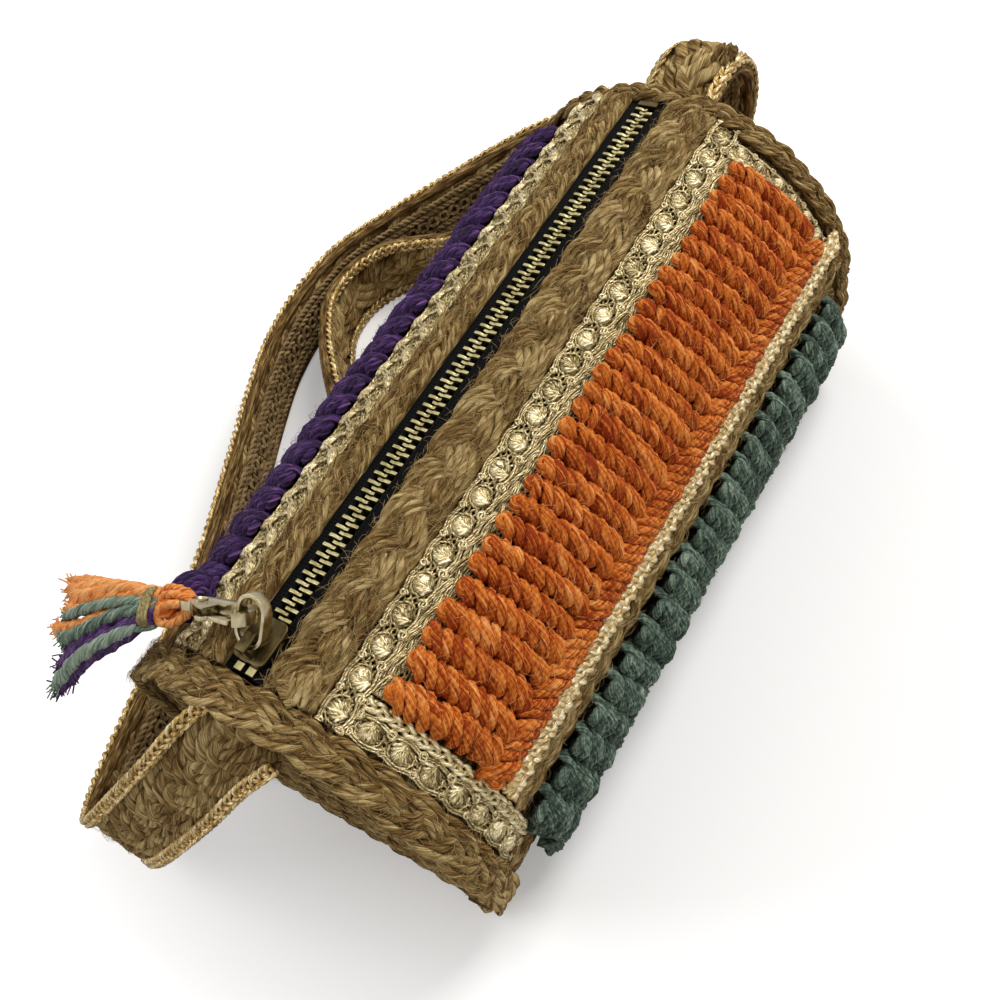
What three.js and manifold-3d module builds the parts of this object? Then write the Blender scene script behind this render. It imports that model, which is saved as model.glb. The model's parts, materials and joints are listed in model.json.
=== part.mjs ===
// Small barrel bag of sewn jute plaits with a zip along its top, three knotted yarn panels, gold lace,
// a plaited shoulder strap, and a tassel that hangs from the zip's pull ring on a lobster clasp.
// Millimetres, +Z up. The origin is the centre of the flat base; the zip is closed towards -X, where its
// slider rests; the front, with the orange and teal panels, faces -Y.
import * as THREE from 'three';
import { mergeVertices } from 'three/addons/utils/BufferGeometryUtils.js';
import Module from 'manifold-3d';

const wasm = await Module();
wasm.setup();

// Body: a barrel with a round crown, straight flanks and a rounded foot.
const bagLength = 210;
const wallRadius = 51;
const crownHeight = 36;
const footRadius = 24;
const wallThickness = 4;
const endThickness = 4;
const endInset = 1.7;
const liningThickness = 0.8;
const liningSetback = 1;
const mouthHalfWidth = 7;
const seamGap = 0.3;
const outlineStep = 5;

// Plaits, trims and panels: s is the distance round the outside of the wall from the zip line.
const nearRimWidth = 10.7;
const farRimWidth = 5;
const rimBelowCrown = 5;
const plaitThickness = 3.6;
const farRimThickness = 2.4;
const tapeThickness = 0.7;
const tapeInner = 3.3;
const tapeOuter = 11;
const topPlaitInner = 5.7;
const frontPlaitWidth = 13.7;
const backPlaitWidth = 9.8;
const laceThickness = 1.6;
const laceWidth = 7;
const cordWidth = 2.7;
const cordThickness = 2.2;
const farLaceWidth = 9.4;
const nearLaceDrop = 58;
const backLaceWidth = 8.2;
const panelProud = 6;
const tealProud = 8;
const panelBevel = 2;
const orangeWidth = 35;
const goldBraidWidth = 3;
const goldBraidThickness = 1.4;
const lowerPlaitWidth = 10;
const lowerPlaitThickness = 2.4;
const tealWidth = 28;
const purpleWidth = 35;
const panelNearMargin = 22;
const tealFarMargin = 15;
const purpleNearMargin = 25;
const purpleFarMargin = 15;

// Zip: a chain of brass teeth 2.7 mm apart on each side.
const toothPitch = 2.7;
const toothThickness = 1.05;
const toothHeight = 2.2;
const chainHalfWidth = 2.95;
const toothOverlap = 0.6;
const beadWidth = 1.1;
const chainNearGap = 3.6;
const chainFarGap = 3.4;
const stopLength = 1.8;
const stopWidth = 2.2;
const sliderLength = 11.5;
const sliderWidth = 9.6;
const sliderPlate = 1.2;
const sliderClearance = 0.35;
const sliderFlange = 1.2;
const tapeDrop = 0.2;
const sliderCorner = 2.2;
const lugThickness = 0.9;
const lugWidth = 3;
const lugOpening = 3.3;
const lugFromNose = 3.2;

// Pull ring, clasp and tassel.
const ringLength = 13;
const ringWidth = 8.5;
const ringBand = 0.9;
const ringDepth = 2.6;
const ringLean = 45;
const claspThickness = 3;
const hookHoleLength = 6;
const hookHoleWidth = 5.4;
const hookWire = 1.9;
const claspBodyEnd = 12.5;
const claspBendShare = 0.7;
const claspShoulderShare = 0.4;
const claspTailWidth = 4.4;
const eyeDistance = 15.2;
const eyeRadius = 2.7;
const eyeHoleRadius = 1.6;
const eyeThickness = 2.1;
const triggerThickness = 0.9;
const triggerWidth = 1.7;
const triggerSlot = 2.4;
const pinRadius = 0.5;
const pinPlay = 0.06;
const pinAlong = 8.6;
const pinAcross = 1.2;
const springGap = 0.12;
const springWire = 0.45;
const claspFall = 11;
const claspTurn = 6;
const loopRadius = 0.8;
const loopLength = 9;
const loopWidth = 7;
const loopPoints = 16;
const bindingWidth = 10;
const bindingHeight = 5.6;
const bindingLength = 3;
const bindingWall = 0.9;
const tasselTurn = 25;
const tasselFall = 9;
const bindingCorner = 1.2;
const bundleSteps = 6;
const bundleArch = 2;
const yarnTipHeight = 3;

// Strap: a flat plait with a gold braid on each edge and a crocheted backing.
const strapWidth = 24;
const strapThickness = 3.6;
const strapTrimWidth = 3;
const strapTrimThickness = 0.9;
const strapBackThickness = 0.9;
const strapBackWidth = 17;
const strapSteps = 4;

const materials = {
  jute: new THREE.MeshStandardMaterial({ color: 0x9a8060, roughness: 0.95 }),
  cotton: new THREE.MeshStandardMaterial({ color: 0x6e5a44, roughness: 0.95 }),
  tape: new THREE.MeshStandardMaterial({ color: 0x151414, roughness: 0.9 }),
  brass: new THREE.MeshStandardMaterial({ color: 0xa08c5a, roughness: 0.4, metalness: 1 }),
  gold: new THREE.MeshStandardMaterial({ color: 0xb39a6c, roughness: 0.45, metalness: 0.6 }),
  orange: new THREE.MeshStandardMaterial({ color: 0xc4601c, roughness: 0.9 }),
  teal: new THREE.MeshStandardMaterial({ color: 0x45605a, roughness: 0.9 }),
  purple: new THREE.MeshStandardMaterial({ color: 0x33224e, roughness: 0.9 }),
  thread: new THREE.MeshStandardMaterial({ color: 0x6b5c2e, roughness: 0.8 }),
};

const bag = new THREE.Group();

// Adds one named piece to a group, which is the bag itself unless another is given.
function addPiece(name, geometry, material, group = bag) {
  const mesh = new THREE.Mesh(geometry, material);
  mesh.name = name;
  group.add(mesh);
  return mesh;
}

// Closed geometry to a solid that can be joined and cut, and back again.
function toSolid(geometry) {
  const bare = geometry.clone();
  bare.deleteAttribute('normal');
  bare.deleteAttribute('uv');
  const merged = mergeVertices(bare, 1e-5);
  const vertProperties = new Float32Array(merged.getAttribute('position').array);
  const triVerts = new Uint32Array(merged.getIndex().array);
  return new wasm.Manifold(new wasm.Mesh({ numProp: 3, vertProperties, triVerts }));
}

function toGeometry(solid) {
  const mesh = solid.getMesh();
  const geometry = new THREE.BufferGeometry();
  geometry.setAttribute('position', new THREE.BufferAttribute(mesh.vertProperties, 3));
  geometry.setIndex(new THREE.BufferAttribute(mesh.triVerts, 1));
  geometry.computeVertexNormals();
  return geometry;
}

function joined(...geometries) {
  return toGeometry(geometries.map(toSolid).reduce((whole, piece) => whole.add(piece)));
}

function cut(geometry, ...tools) {
  return toGeometry(tools.map(toSolid).reduce((whole, tool) => whole.subtract(tool), toSolid(geometry)));
}

function boxAt(x, y, z) {
  const geometry = new THREE.BoxGeometry(x[1] - x[0], y[1] - y[0], z[1] - z[0]);
  return geometry.translate((x[0] + x[1]) / 2, (y[0] + y[1]) / 2, (z[0] + z[1]) / 2);
}

// Outline of the barrel: lengths of its quarter crown, straight flank and rounded foot.
const crownRun = wallRadius * Math.PI / 2;
const flankRun = crownHeight - footRadius;
const footRun = footRadius * Math.PI / 2;
const footEnd = crownRun + flankRun + footRun;
const baseHalfWidth = wallRadius - footRadius;

// Point (y, z) on the outline, at distance s from the zip line, moved outwards by offset.
function outlinePoint(s, offset) {
  const side = s < 0 ? 1 : -1;
  const run = Math.abs(s);
  if (run <= crownRun) {
    const turn = run / wallRadius;
    const radius = wallRadius + offset;
    return new THREE.Vector2(side * radius * Math.sin(turn), crownHeight + radius * Math.cos(turn));
  }
  if (run <= crownRun + flankRun) {
    return new THREE.Vector2(side * (wallRadius + offset), crownHeight - (run - crownRun));
  }
  const turn = (run - crownRun - flankRun) / footRadius;
  const radius = footRadius + offset;
  return new THREE.Vector2(side * (baseHalfWidth + radius * Math.cos(turn)), footRadius - radius * Math.sin(turn));
}

// Extrudes a closed (y, z) outline along X.
function extrudeAlongX(points, x) {
  const shape = new THREE.Shape(points);
  const geometry = new THREE.ExtrudeGeometry(shape, { depth: x[1] - x[0], bevelEnabled: false });
  const axes = new THREE.Matrix4().makeBasis(
    new THREE.Vector3(0, 1, 0), new THREE.Vector3(0, 0, 1), new THREE.Vector3(1, 0, 0));
  return geometry.applyMatrix4(axes).translate(x[0], 0, 0);
}

// A strip that follows the barrel: its section's corners are (s, offset) pairs, in order round the section.
function strip(corners, x) {
  const points = [];
  corners.forEach(([s, offset], i) => {
    const [nextS, nextOffset] = corners[(i + 1) % corners.length];
    const steps = Math.max(1, Math.ceil(Math.abs(nextS - s) / outlineStep));
    for (let step = 0; step < steps; step += 1) {
      const share = step / steps;
      points.push(outlinePoint(s + (nextS - s) * share, offset + (nextOffset - offset) * share));
    }
  });
  return extrudeAlongX(points, x);
}

function flatStrip(s, out, x) {
  return strip([[s[0], out[0]], [s[1], out[0]], [s[1], out[1]], [s[0], out[1]]], x);
}

// A knotted panel: a thick strip whose outer edges are drawn in.
function panelStrip(s, x, proud) {
  const inwards = Math.sign(s[1] - s[0]) * panelBevel;
  const shoulder = seamGap + proud - panelBevel;
  const top = seamGap + proud;
  return strip([[s[0], seamGap], [s[1], seamGap], [s[1], shoulder], [s[1] - inwards, top],
    [s[0] + inwards, top], [s[0], shoulder]], x);
}

// Lengths along X.
const halfLength = bagLength / 2;
const endFace = halfLength - endInset;
const wallEnd = endFace - endThickness - seamGap;
const nearRimEdge = -halfLength + nearRimWidth;
const farRimEdge = halfLength - farRimWidth;
const betweenRims = [nearRimEdge + seamGap, farRimEdge - seamGap];
const panelStart = -halfLength + panelNearMargin;
const panelEnd = farRimEdge - seamGap - farLaceWidth;

// Distances round the wall, each trim starting where the last one ends.
const laceStart = topPlaitInner + frontPlaitWidth + seamGap;
const cordStart = laceStart + laceWidth + seamGap;
const orangeStart = cordStart + cordWidth + seamGap;
const orangeEnd = orangeStart + orangeWidth;
const goldStart = orangeEnd + seamGap;
const lowerPlaitStart = goldStart + goldBraidWidth + seamGap;
const tealStart = lowerPlaitStart + lowerPlaitWidth + seamGap;
const backLaceStart = topPlaitInner + backPlaitWidth + seamGap;
const purpleStart = backLaceStart + backLaceWidth + seamGap;
const purpleEnd = purpleStart + purpleWidth;

function addBody() {
  const inside = -wallThickness;
  const lengthwise = [-wallEnd, wallEnd];
  addPiece('front_wall', flatStrip([mouthHalfWidth, footEnd], [inside, 0], lengthwise), materials.jute);
  addPiece('back_wall', flatStrip([-mouthHalfWidth, -footEnd], [inside, 0], lengthwise), materials.jute);
  const baseHalf = baseHalfWidth - seamGap;
  const base = boxAt(lengthwise, [-baseHalf, baseHalf], [0, wallThickness]);
  addPiece('base_panel', base, materials.jute);
  const around = [];
  const turns = 2 * Math.ceil(footEnd / outlineStep);
  for (let i = 0; i <= turns; i += 1) {
    around.push(outlinePoint(footEnd * (2 * i / turns - 1), 0));
  }
  addPiece('near_end_panel', extrudeAlongX(around, [-endFace, -endFace + endThickness]), materials.jute);
  addPiece('far_end_panel', extrudeAlongX(around, [endFace - endThickness, endFace]), materials.jute);
}

// The cloth lining: a trough inside the walls, open under the zip, with a flat end at both ends.
function addLining() {
  const outer = -wallThickness - seamGap;
  const inner = outer - liningThickness;
  const mouth = mouthHalfWidth + liningSetback;
  const reach = wallEnd - seamGap;
  const side = (sign) => strip([[sign * mouth, outer], [sign * footEnd, outer], [sign * footEnd, inner],
    [sign * mouth, inner]], [-reach, reach]);
  const floor = boxAt([-reach, reach], [-baseHalfWidth, baseHalfWidth], [-outer, -inner]);
  const cap = [];
  const turns = 2 * Math.ceil((footEnd - mouth) / outlineStep);
  for (let i = 0; i <= turns; i += 1) {
    cap.push(outlinePoint(-mouth - (footEnd - mouth) * (1 - i / turns), outer));
  }
  for (let i = 0; i <= turns; i += 1) {
    cap.push(outlinePoint(mouth + (footEnd - mouth) * i / turns, outer));
  }
  const nearEnd = extrudeAlongX(cap, [-reach, -reach + liningThickness]);
  const farEnd = extrudeAlongX(cap, [reach - liningThickness, reach]);
  addPiece('lining', joined(side(1), floor, side(-1), nearEnd, farEnd), materials.cotton);
}

// Plaits along the mouth lie on the zip tape, and past its edge on the wall.
function mouthPlait(sign, width) {
  const onTape = 2 * seamGap + tapeThickness;
  const top = seamGap + plaitThickness;
  const step = tapeOuter + seamGap;
  const outerEdge = topPlaitInner + width;
  const corners = [[topPlaitInner, onTape], [step, onTape], [step + seamGap, seamGap], [outerEdge, seamGap],
    [outerEdge, top], [topPlaitInner, top]];
  return strip(corners.map(([s, out]) => [sign * s, out]), betweenRims);
}

function addPlaits() {
  addPiece('front_mouth_plait', mouthPlait(1, frontPlaitWidth), materials.jute);
  addPiece('back_mouth_plait', mouthPlait(-1, backPlaitWidth), materials.jute);
  const rimEnd = crownRun + rimBelowCrown;
  const nearRim = flatStrip([-rimEnd, rimEnd], [seamGap, seamGap + plaitThickness], [-halfLength, nearRimEdge]);
  addPiece('near_rim_plait', nearRim, materials.jute);
  const farRim = flatStrip([-rimEnd, rimEnd], [seamGap, seamGap + farRimThickness], [farRimEdge, halfLength]);
  addPiece('far_rim_plait', farRim, materials.jute);
  const lower = flatStrip([lowerPlaitStart, lowerPlaitStart + lowerPlaitWidth],
    [seamGap, seamGap + lowerPlaitThickness], [panelStart, betweenRims[1]]);
  addPiece('front_lower_plait', lower, materials.jute);
}

function addTrims() {
  const laceOut = [seamGap, seamGap + laceThickness];
  const cordOut = [seamGap, seamGap + cordThickness];
  const goldOut = [seamGap, seamGap + goldBraidThickness];
  const topLace = flatStrip([laceStart, laceStart + laceWidth], laceOut, betweenRims);
  addPiece('lace_top', topLace, materials.gold);
  const cord = flatStrip([cordStart, cordStart + cordWidth], cordOut, [panelStart, panelEnd]);
  addPiece('lace_cord', cord, materials.gold);
  const endLaceStart = laceStart + laceWidth + seamGap;
  const nearLace = flatStrip([endLaceStart, endLaceStart + nearLaceDrop], laceOut,
    [betweenRims[0], panelStart - seamGap]);
  addPiece('lace_near_end', nearLace, materials.gold);
  const farLace = flatStrip([endLaceStart, orangeEnd], laceOut, [panelEnd + seamGap, betweenRims[1]]);
  addPiece('lace_far_end', farLace, materials.gold);
  const braid = flatStrip([goldStart, goldStart + goldBraidWidth], goldOut, [panelStart, betweenRims[1]]);
  addPiece('gold_braid_front', braid, materials.gold);
  const gimp = flatStrip([-backLaceStart, -backLaceStart - backLaceWidth], laceOut, betweenRims);
  addPiece('lace_back', gimp, materials.gold);
  const purpleX = [-halfLength + purpleNearMargin, halfLength - purpleFarMargin];
  const backBraid = flatStrip([-purpleEnd - seamGap, -purpleEnd - seamGap - goldBraidWidth], goldOut, purpleX);
  addPiece('gold_braid_back', backBraid, materials.gold);
}

function addPanels() {
  const orange = panelStrip([orangeStart, orangeEnd], [panelStart, panelEnd], panelProud);
  addPiece('orange_panel', orange, materials.orange);
  const teal = panelStrip([tealStart, tealStart + tealWidth],
    [panelStart, halfLength - tealFarMargin], tealProud);
  addPiece('teal_panel', teal, materials.teal);
  const purple = panelStrip([-purpleStart, -purpleEnd],
    [-halfLength + purpleNearMargin, halfLength - purpleFarMargin], panelProud);
  addPiece('purple_panel', purple, materials.purple);
}

// Zip: the chain lies level with the tape at the top of the crown.
const chainLevel = crownHeight + wallRadius + seamGap + tapeThickness / 2;
const chainStart = nearRimEdge + chainNearGap;
const chainEnd = farRimEdge - chainFarGap;
const toothCount = Math.floor((chainEnd - chainStart) / toothPitch);
const firstTooth = chainStart + toothThickness;
const rowStart = chainStart - toothPitch / 4;
const rowEnd = firstTooth + (toothCount - 0.5) * toothPitch + toothThickness;

// One row of teeth on its bead, in plan: sign is -1 for the front row and 1 for the back row.
function toothRow(sign, first) {
  const bead = sign * chainHalfWidth;
  const beadInner = sign * (chainHalfWidth - beadWidth);
  const points = [[rowStart, bead], [rowEnd, bead], [rowEnd, beadInner]];
  for (let i = toothCount - 1; i >= 0; i -= 1) {
    const middle = first + i * toothPitch;
    points.push([middle + toothThickness / 2, beadInner]);
    points.push([middle + toothThickness / 2, -sign * toothOverlap]);
    points.push([middle - toothThickness / 2, -sign * toothOverlap]);
    points.push([middle - toothThickness / 2, beadInner]);
  }
  points.push([rowStart, beadInner]);
  const shape = new THREE.Shape(points.map(([x, y]) => new THREE.Vector2(x, y)));
  const row = new THREE.ExtrudeGeometry(shape, { depth: toothHeight, bevelEnabled: false });
  return row.translate(0, 0, chainLevel - toothHeight / 2);
}

function addZip() {
  const tapeOut = [seamGap, seamGap + tapeThickness];
  addPiece('zip_tape_front', flatStrip([tapeInner, tapeOuter], tapeOut, betweenRims), materials.tape);
  addPiece('zip_tape_back', flatStrip([-tapeInner, -tapeOuter], tapeOut, betweenRims), materials.tape);
  addPiece('zip_teeth_front', toothRow(-1, firstTooth), materials.brass);
  addPiece('zip_teeth_back', toothRow(1, firstTooth + toothPitch / 2), materials.brass);
  const level = [chainLevel - toothHeight / 2, chainLevel + toothHeight / 2];
  const stopX = [rowStart - seamGap - stopLength, rowStart - seamGap];
  const stopY = [chainHalfWidth - stopWidth, chainHalfWidth];
  addPiece('top_stop_front', boxAt(stopX, [-stopY[1], -stopY[0]], level), materials.brass);
  addPiece('top_stop_back', boxAt(stopX, stopY, level), materials.brass);
  const bottomStop = boxAt([rowEnd + seamGap, rowEnd + seamGap + stopLength],
    [-chainHalfWidth, chainHalfWidth], level);
  addPiece('bottom_stop', bottomStop, materials.brass);
}

// Slider: an upper and a lower plate whose edges close round the tape, and a lug for the ring.
const sliderNose = rowStart;
const upperPlateLevel = chainLevel + toothHeight / 2 + sliderClearance;
const lowerPlateLevel = chainLevel - toothHeight / 2 - sliderClearance - sliderPlate;
const lugX = sliderNose + lugFromNose;
const ringPivotLevel = upperPlateLevel + sliderPlate + lugOpening / 2;

function sliderPlateShape() {
  const halfWidth = sliderWidth / 2;
  const tail = sliderNose + sliderLength;
  const shape = new THREE.Shape();
  shape.moveTo(sliderNose + sliderCorner, -halfWidth);
  shape.lineTo(tail - sliderCorner, -halfWidth);
  shape.quadraticCurveTo(tail, -halfWidth, tail, -halfWidth + sliderCorner);
  shape.lineTo(tail, halfWidth - sliderCorner);
  shape.quadraticCurveTo(tail, halfWidth, tail - sliderCorner, halfWidth);
  shape.lineTo(sliderNose + sliderCorner, halfWidth);
  shape.quadraticCurveTo(sliderNose, halfWidth, sliderNose, halfWidth - sliderCorner);
  shape.lineTo(sliderNose, -halfWidth + sliderCorner);
  shape.quadraticCurveTo(sliderNose, -halfWidth, sliderNose + sliderCorner, -halfWidth);
  return shape;
}

function addSlider() {
  const plate = (level) => new THREE.ExtrudeGeometry(sliderPlateShape(),
    { depth: sliderPlate, bevelEnabled: false, curveSegments: 4 }).translate(0, 0, level);
  const halfWidth = sliderWidth / 2;
  const flangeX = [sliderNose + sliderCorner, sliderNose + sliderLength - sliderCorner];
  const flangeY = [halfWidth - sliderFlange, halfWidth];
  const tapeTop = chainLevel + tapeThickness / 2 + sliderClearance;
  const tapeBottom = chainLevel - tapeThickness / 2 - sliderClearance - tapeDrop;
  const flange = (sign, z) => boxAt(flangeX, sign > 0 ? flangeY : [-flangeY[1], -flangeY[0]], z);
  const plateTop = upperPlateLevel + sliderPlate;
  const lugHalf = lugOpening / 2;
  const outer = boxAt([lugX - lugHalf - lugThickness, lugX + lugHalf + lugThickness],
    [-lugWidth / 2, lugWidth / 2], [upperPlateLevel, plateTop + lugOpening + lugThickness]);
  const hole = boxAt([lugX - lugHalf, lugX + lugHalf], [-lugWidth, lugWidth], [plateTop, plateTop + lugOpening]);
  const upperZ = [tapeTop, upperPlateLevel + sliderPlate / 2];
  const upper = joined(plate(upperPlateLevel), flange(1, upperZ), flange(-1, upperZ), cut(outer, hole));
  addPiece('slider_upper_plate', upper, materials.brass);
  const lowerZ = [lowerPlateLevel + sliderPlate / 2, tapeBottom];
  const lower = joined(plate(lowerPlateLevel), flange(1, lowerZ), flange(-1, lowerZ));
  addPiece('slider_lower_plate', lower, materials.brass);
}

function stadium(path, start, end, halfWidth) {
  path.absarc(end - halfWidth, 0, halfWidth, -Math.PI / 2, Math.PI / 2, false);
  path.absarc(start + halfWidth, 0, halfWidth, Math.PI / 2, Math.PI * 3 / 2, false);
  return path;
}

// The pull ring is an oval band that stands in the lug and leans towards +X.
function addPullRing() {
  const group = new THREE.Group();
  group.position.set(lugX, 0, ringPivotLevel);
  group.rotation.y = -THREE.MathUtils.degToRad(ringLean);
  bag.add(group);
  const start = -ringBand / 2;
  const shape = stadium(new THREE.Shape(), start, start + ringLength, ringWidth / 2);
  shape.holes.push(stadium(new THREE.Path(), start + ringBand, start + ringLength - ringBand,
    ringWidth / 2 - ringBand));
  const band = new THREE.ExtrudeGeometry(shape, { depth: ringDepth, bevelEnabled: false, curveSegments: 10 });
  addPiece('pull_ring', band.translate(0, 0, -ringDepth / 2), materials.brass, group);
}

// Frame of the clasp: u runs from its hook to its eye, v across it, n through its thickness. The side bar of
// the ring lies in the corner of the hook's hole that is furthest from the trigger.
const barInHook = [-0.9, -0.9];
const ringBarCentre = new THREE.Vector3(
  lugX + (ringLength - ringBand) / 2 * Math.cos(THREE.MathUtils.degToRad(ringLean)),
  ringWidth / 2 - ringBand / 2,
  ringPivotLevel + (ringLength - ringBand) / 2 * Math.sin(THREE.MathUtils.degToRad(ringLean)));

function claspFrame() {
  const fall = THREE.MathUtils.degToRad(claspFall);
  const turn = THREE.MathUtils.degToRad(claspTurn);
  const lean = THREE.MathUtils.degToRad(ringLean);
  const u = new THREE.Vector3(-Math.sin(turn), Math.cos(turn) * Math.cos(fall), -Math.sin(fall)).normalize();
  const n = new THREE.Vector3(Math.cos(lean), 0, Math.sin(lean));
  n.addScaledVector(u, -n.dot(u)).normalize();
  const v = new THREE.Vector3().crossVectors(n, u);
  const hookCentre = ringBarCentre.clone().addScaledVector(u, -barInHook[0]).addScaledVector(v, -barInHook[1]);
  return new THREE.Matrix4().makeBasis(u, v, n).setPosition(hookCentre);
}

function extrudeMid(shape, depth, segments = 8) {
  const geometry = new THREE.ExtrudeGeometry(shape, { depth, bevelEnabled: false, curveSegments: segments });
  return geometry.translate(0, 0, -depth / 2);
}

function claspOutline() {
  const hookEnd = -hookHoleLength / 2 - hookWire;
  const half = hookHoleWidth / 2 + hookWire;
  const bend = claspBodyEnd * claspBendShare;
  const shoulder = claspBodyEnd * claspShoulderShare;
  const shape = new THREE.Shape();
  shape.moveTo(0, -half);
  shape.quadraticCurveTo(bend, -half, claspBodyEnd, -claspTailWidth / 2);
  const tailEnd = eyeDistance - eyeHoleRadius - seamGap;
  shape.lineTo(tailEnd, -claspTailWidth / 2);
  shape.lineTo(tailEnd, claspTailWidth / 2);
  shape.lineTo(claspBodyEnd, claspTailWidth / 2);
  shape.quadraticCurveTo(bend, half, shoulder, half);
  shape.lineTo(0, half);
  shape.quadraticCurveTo(hookEnd, half, hookEnd, 0);
  shape.quadraticCurveTo(hookEnd, -half, 0, -half);
  return shape;
}

// The trigger closes the hook's gap on the +v side and turns on its pin, between the body's two cheeks.
const gateStart = -hookHoleLength / 2 + 0.4;
const gateEnd = hookHoleLength / 2 + 2.4;
const gateTop = hookHoleWidth / 2 + hookWire;
const gateClearance = 0.6;
const bladeHeel = 0.6;
const thumbReach = 1.6;
const thumbLength = 1.6;
const thumbSetback = 1;
const knuckleRadius = 1.35;
const slotBelowPin = 2.4;
const slotPastPin = 1.9;

// Side view of the trigger: a blade over the gap, a thumb tab, and a knuckle round the pin.
function triggerShape() {
  const low = gateTop - triggerWidth;
  const thumbEnd = pinAlong - knuckleRadius - thumbSetback;
  const thumbStart = thumbEnd - thumbLength;
  const shape = new THREE.Shape();
  shape.moveTo(gateStart, low);
  shape.lineTo(hookHoleLength / 2 + bladeHeel, low);
  shape.lineTo(pinAlong, pinAcross - knuckleRadius);
  shape.absarc(pinAlong, pinAcross, knuckleRadius, -Math.PI / 2, Math.PI / 2, false);
  shape.lineTo(pinAlong - knuckleRadius, gateTop - bladeHeel);
  shape.lineTo(thumbEnd, gateTop + thumbReach);
  shape.lineTo(thumbStart, gateTop + thumbReach);
  shape.lineTo(thumbStart - bladeHeel, gateTop);
  shape.lineTo(gateStart, gateTop);
  shape.closePath();
  return shape;
}

function addClasp() {
  const group = new THREE.Group();
  group.applyMatrix4(claspFrame());
  bag.add(group);
  const roundAt = (radius, length, along, across) => new THREE.CylinderGeometry(radius, radius, length, 16)
    .rotateX(Math.PI / 2).translate(along, across, 0);
  const through = claspThickness * 2;
  const top = gateTop + thumbReach;
  const slotHalf = triggerSlot / 2;
  const gapStart = gateStart - gateClearance;
  const gap = boxAt([gapStart, gateEnd], [0, top], [-claspThickness, claspThickness]);
  const slot = boxAt([gapStart, pinAlong + slotPastPin], [pinAcross - slotBelowPin, top], [-slotHalf, slotHalf]);
  const hole = stadium(new THREE.Shape(), -hookHoleLength / 2, hookHoleLength / 2, hookHoleWidth / 2);
  const blank = joined(extrudeMid(claspOutline(), claspThickness), roundAt(eyeRadius, eyeThickness, eyeDistance, 0));
  const body = cut(blank, extrudeMid(hole, through), gap, slot, roundAt(eyeHoleRadius, through, eyeDistance, 0),
    roundAt(pinRadius + pinPlay, through, pinAlong, pinAcross));
  addPiece('clasp_body', body, materials.brass, group);
  const leverLevel = -slotHalf + seamGap + triggerThickness / 2;
  const lever = cut(extrudeMid(triggerShape(), triggerThickness),
    roundAt(pinRadius + pinPlay, claspThickness, pinAlong, pinAcross));
  addPiece('clasp_trigger', lever.translate(0, 0, leverLevel), materials.brass, group);
  addPiece('clasp_pin', roundAt(pinRadius, claspThickness, pinAlong, pinAcross), materials.brass, group);
  const inner = pinRadius + springGap;
  const outer = inner + springWire;
  const levels = [leverLevel + triggerThickness / 2 + springGap, slotHalf - springGap];
  const coil = [[inner, levels[0]], [outer, levels[0]], [outer, levels[1]], [inner, levels[1]], [inner, levels[0]]];
  const spring = new THREE.LatheGeometry(coil.map(([radius, level]) => new THREE.Vector2(radius, level)), 16)
    .rotateX(Math.PI / 2).translate(pinAlong, pinAcross, 0);
  addPiece('trigger_spring', spring, materials.brass, group);
}

// A bundle of yarn: straight from its head to its neck, then widening in a low arch to its tip. Each
// section is a rectangle given by its centre and its half sizes across and up.
function yarnBundle(head, neck, tip) {
  const sections = [head];
  for (let i = 0; i <= bundleSteps; i += 1) {
    const share = i / bundleSteps;
    const centre = neck.centre.clone().lerp(tip.centre, share);
    centre.z += bundleArch * 4 * share * (1 - share);
    sections.push({ centre, across: neck.across.clone().lerp(tip.across, share),
      up: neck.up.clone().lerp(tip.up, share) });
  }
  const positions = [];
  const indices = [];
  sections.forEach(({ centre, across, up }) => {
    [[-1, -1], [1, -1], [1, 1], [-1, 1]].forEach(([a, b]) => {
      const p = centre.clone().addScaledVector(across, a).addScaledVector(up, b);
      positions.push(p.x, p.y, p.z);
    });
  });
  const steps = sections.length - 1;
  for (let i = 0; i < steps; i += 1) {
    for (let side = 0; side < 4; side += 1) {
      const a = i * 4 + side;
      const b = i * 4 + (side + 1) % 4;
      indices.push(a, b + 4, b, a, a + 4, b + 4);
    }
  }
  const last = steps * 4;
  indices.push(0, 1, 2, 0, 2, 3, last, last + 2, last + 1, last, last + 3, last + 2);
  const geometry = new THREE.BufferGeometry();
  geometry.setAttribute('position', new THREE.Float32BufferAttribute(positions, 3));
  geometry.setIndex(indices);
  return geometry;
}

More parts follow.
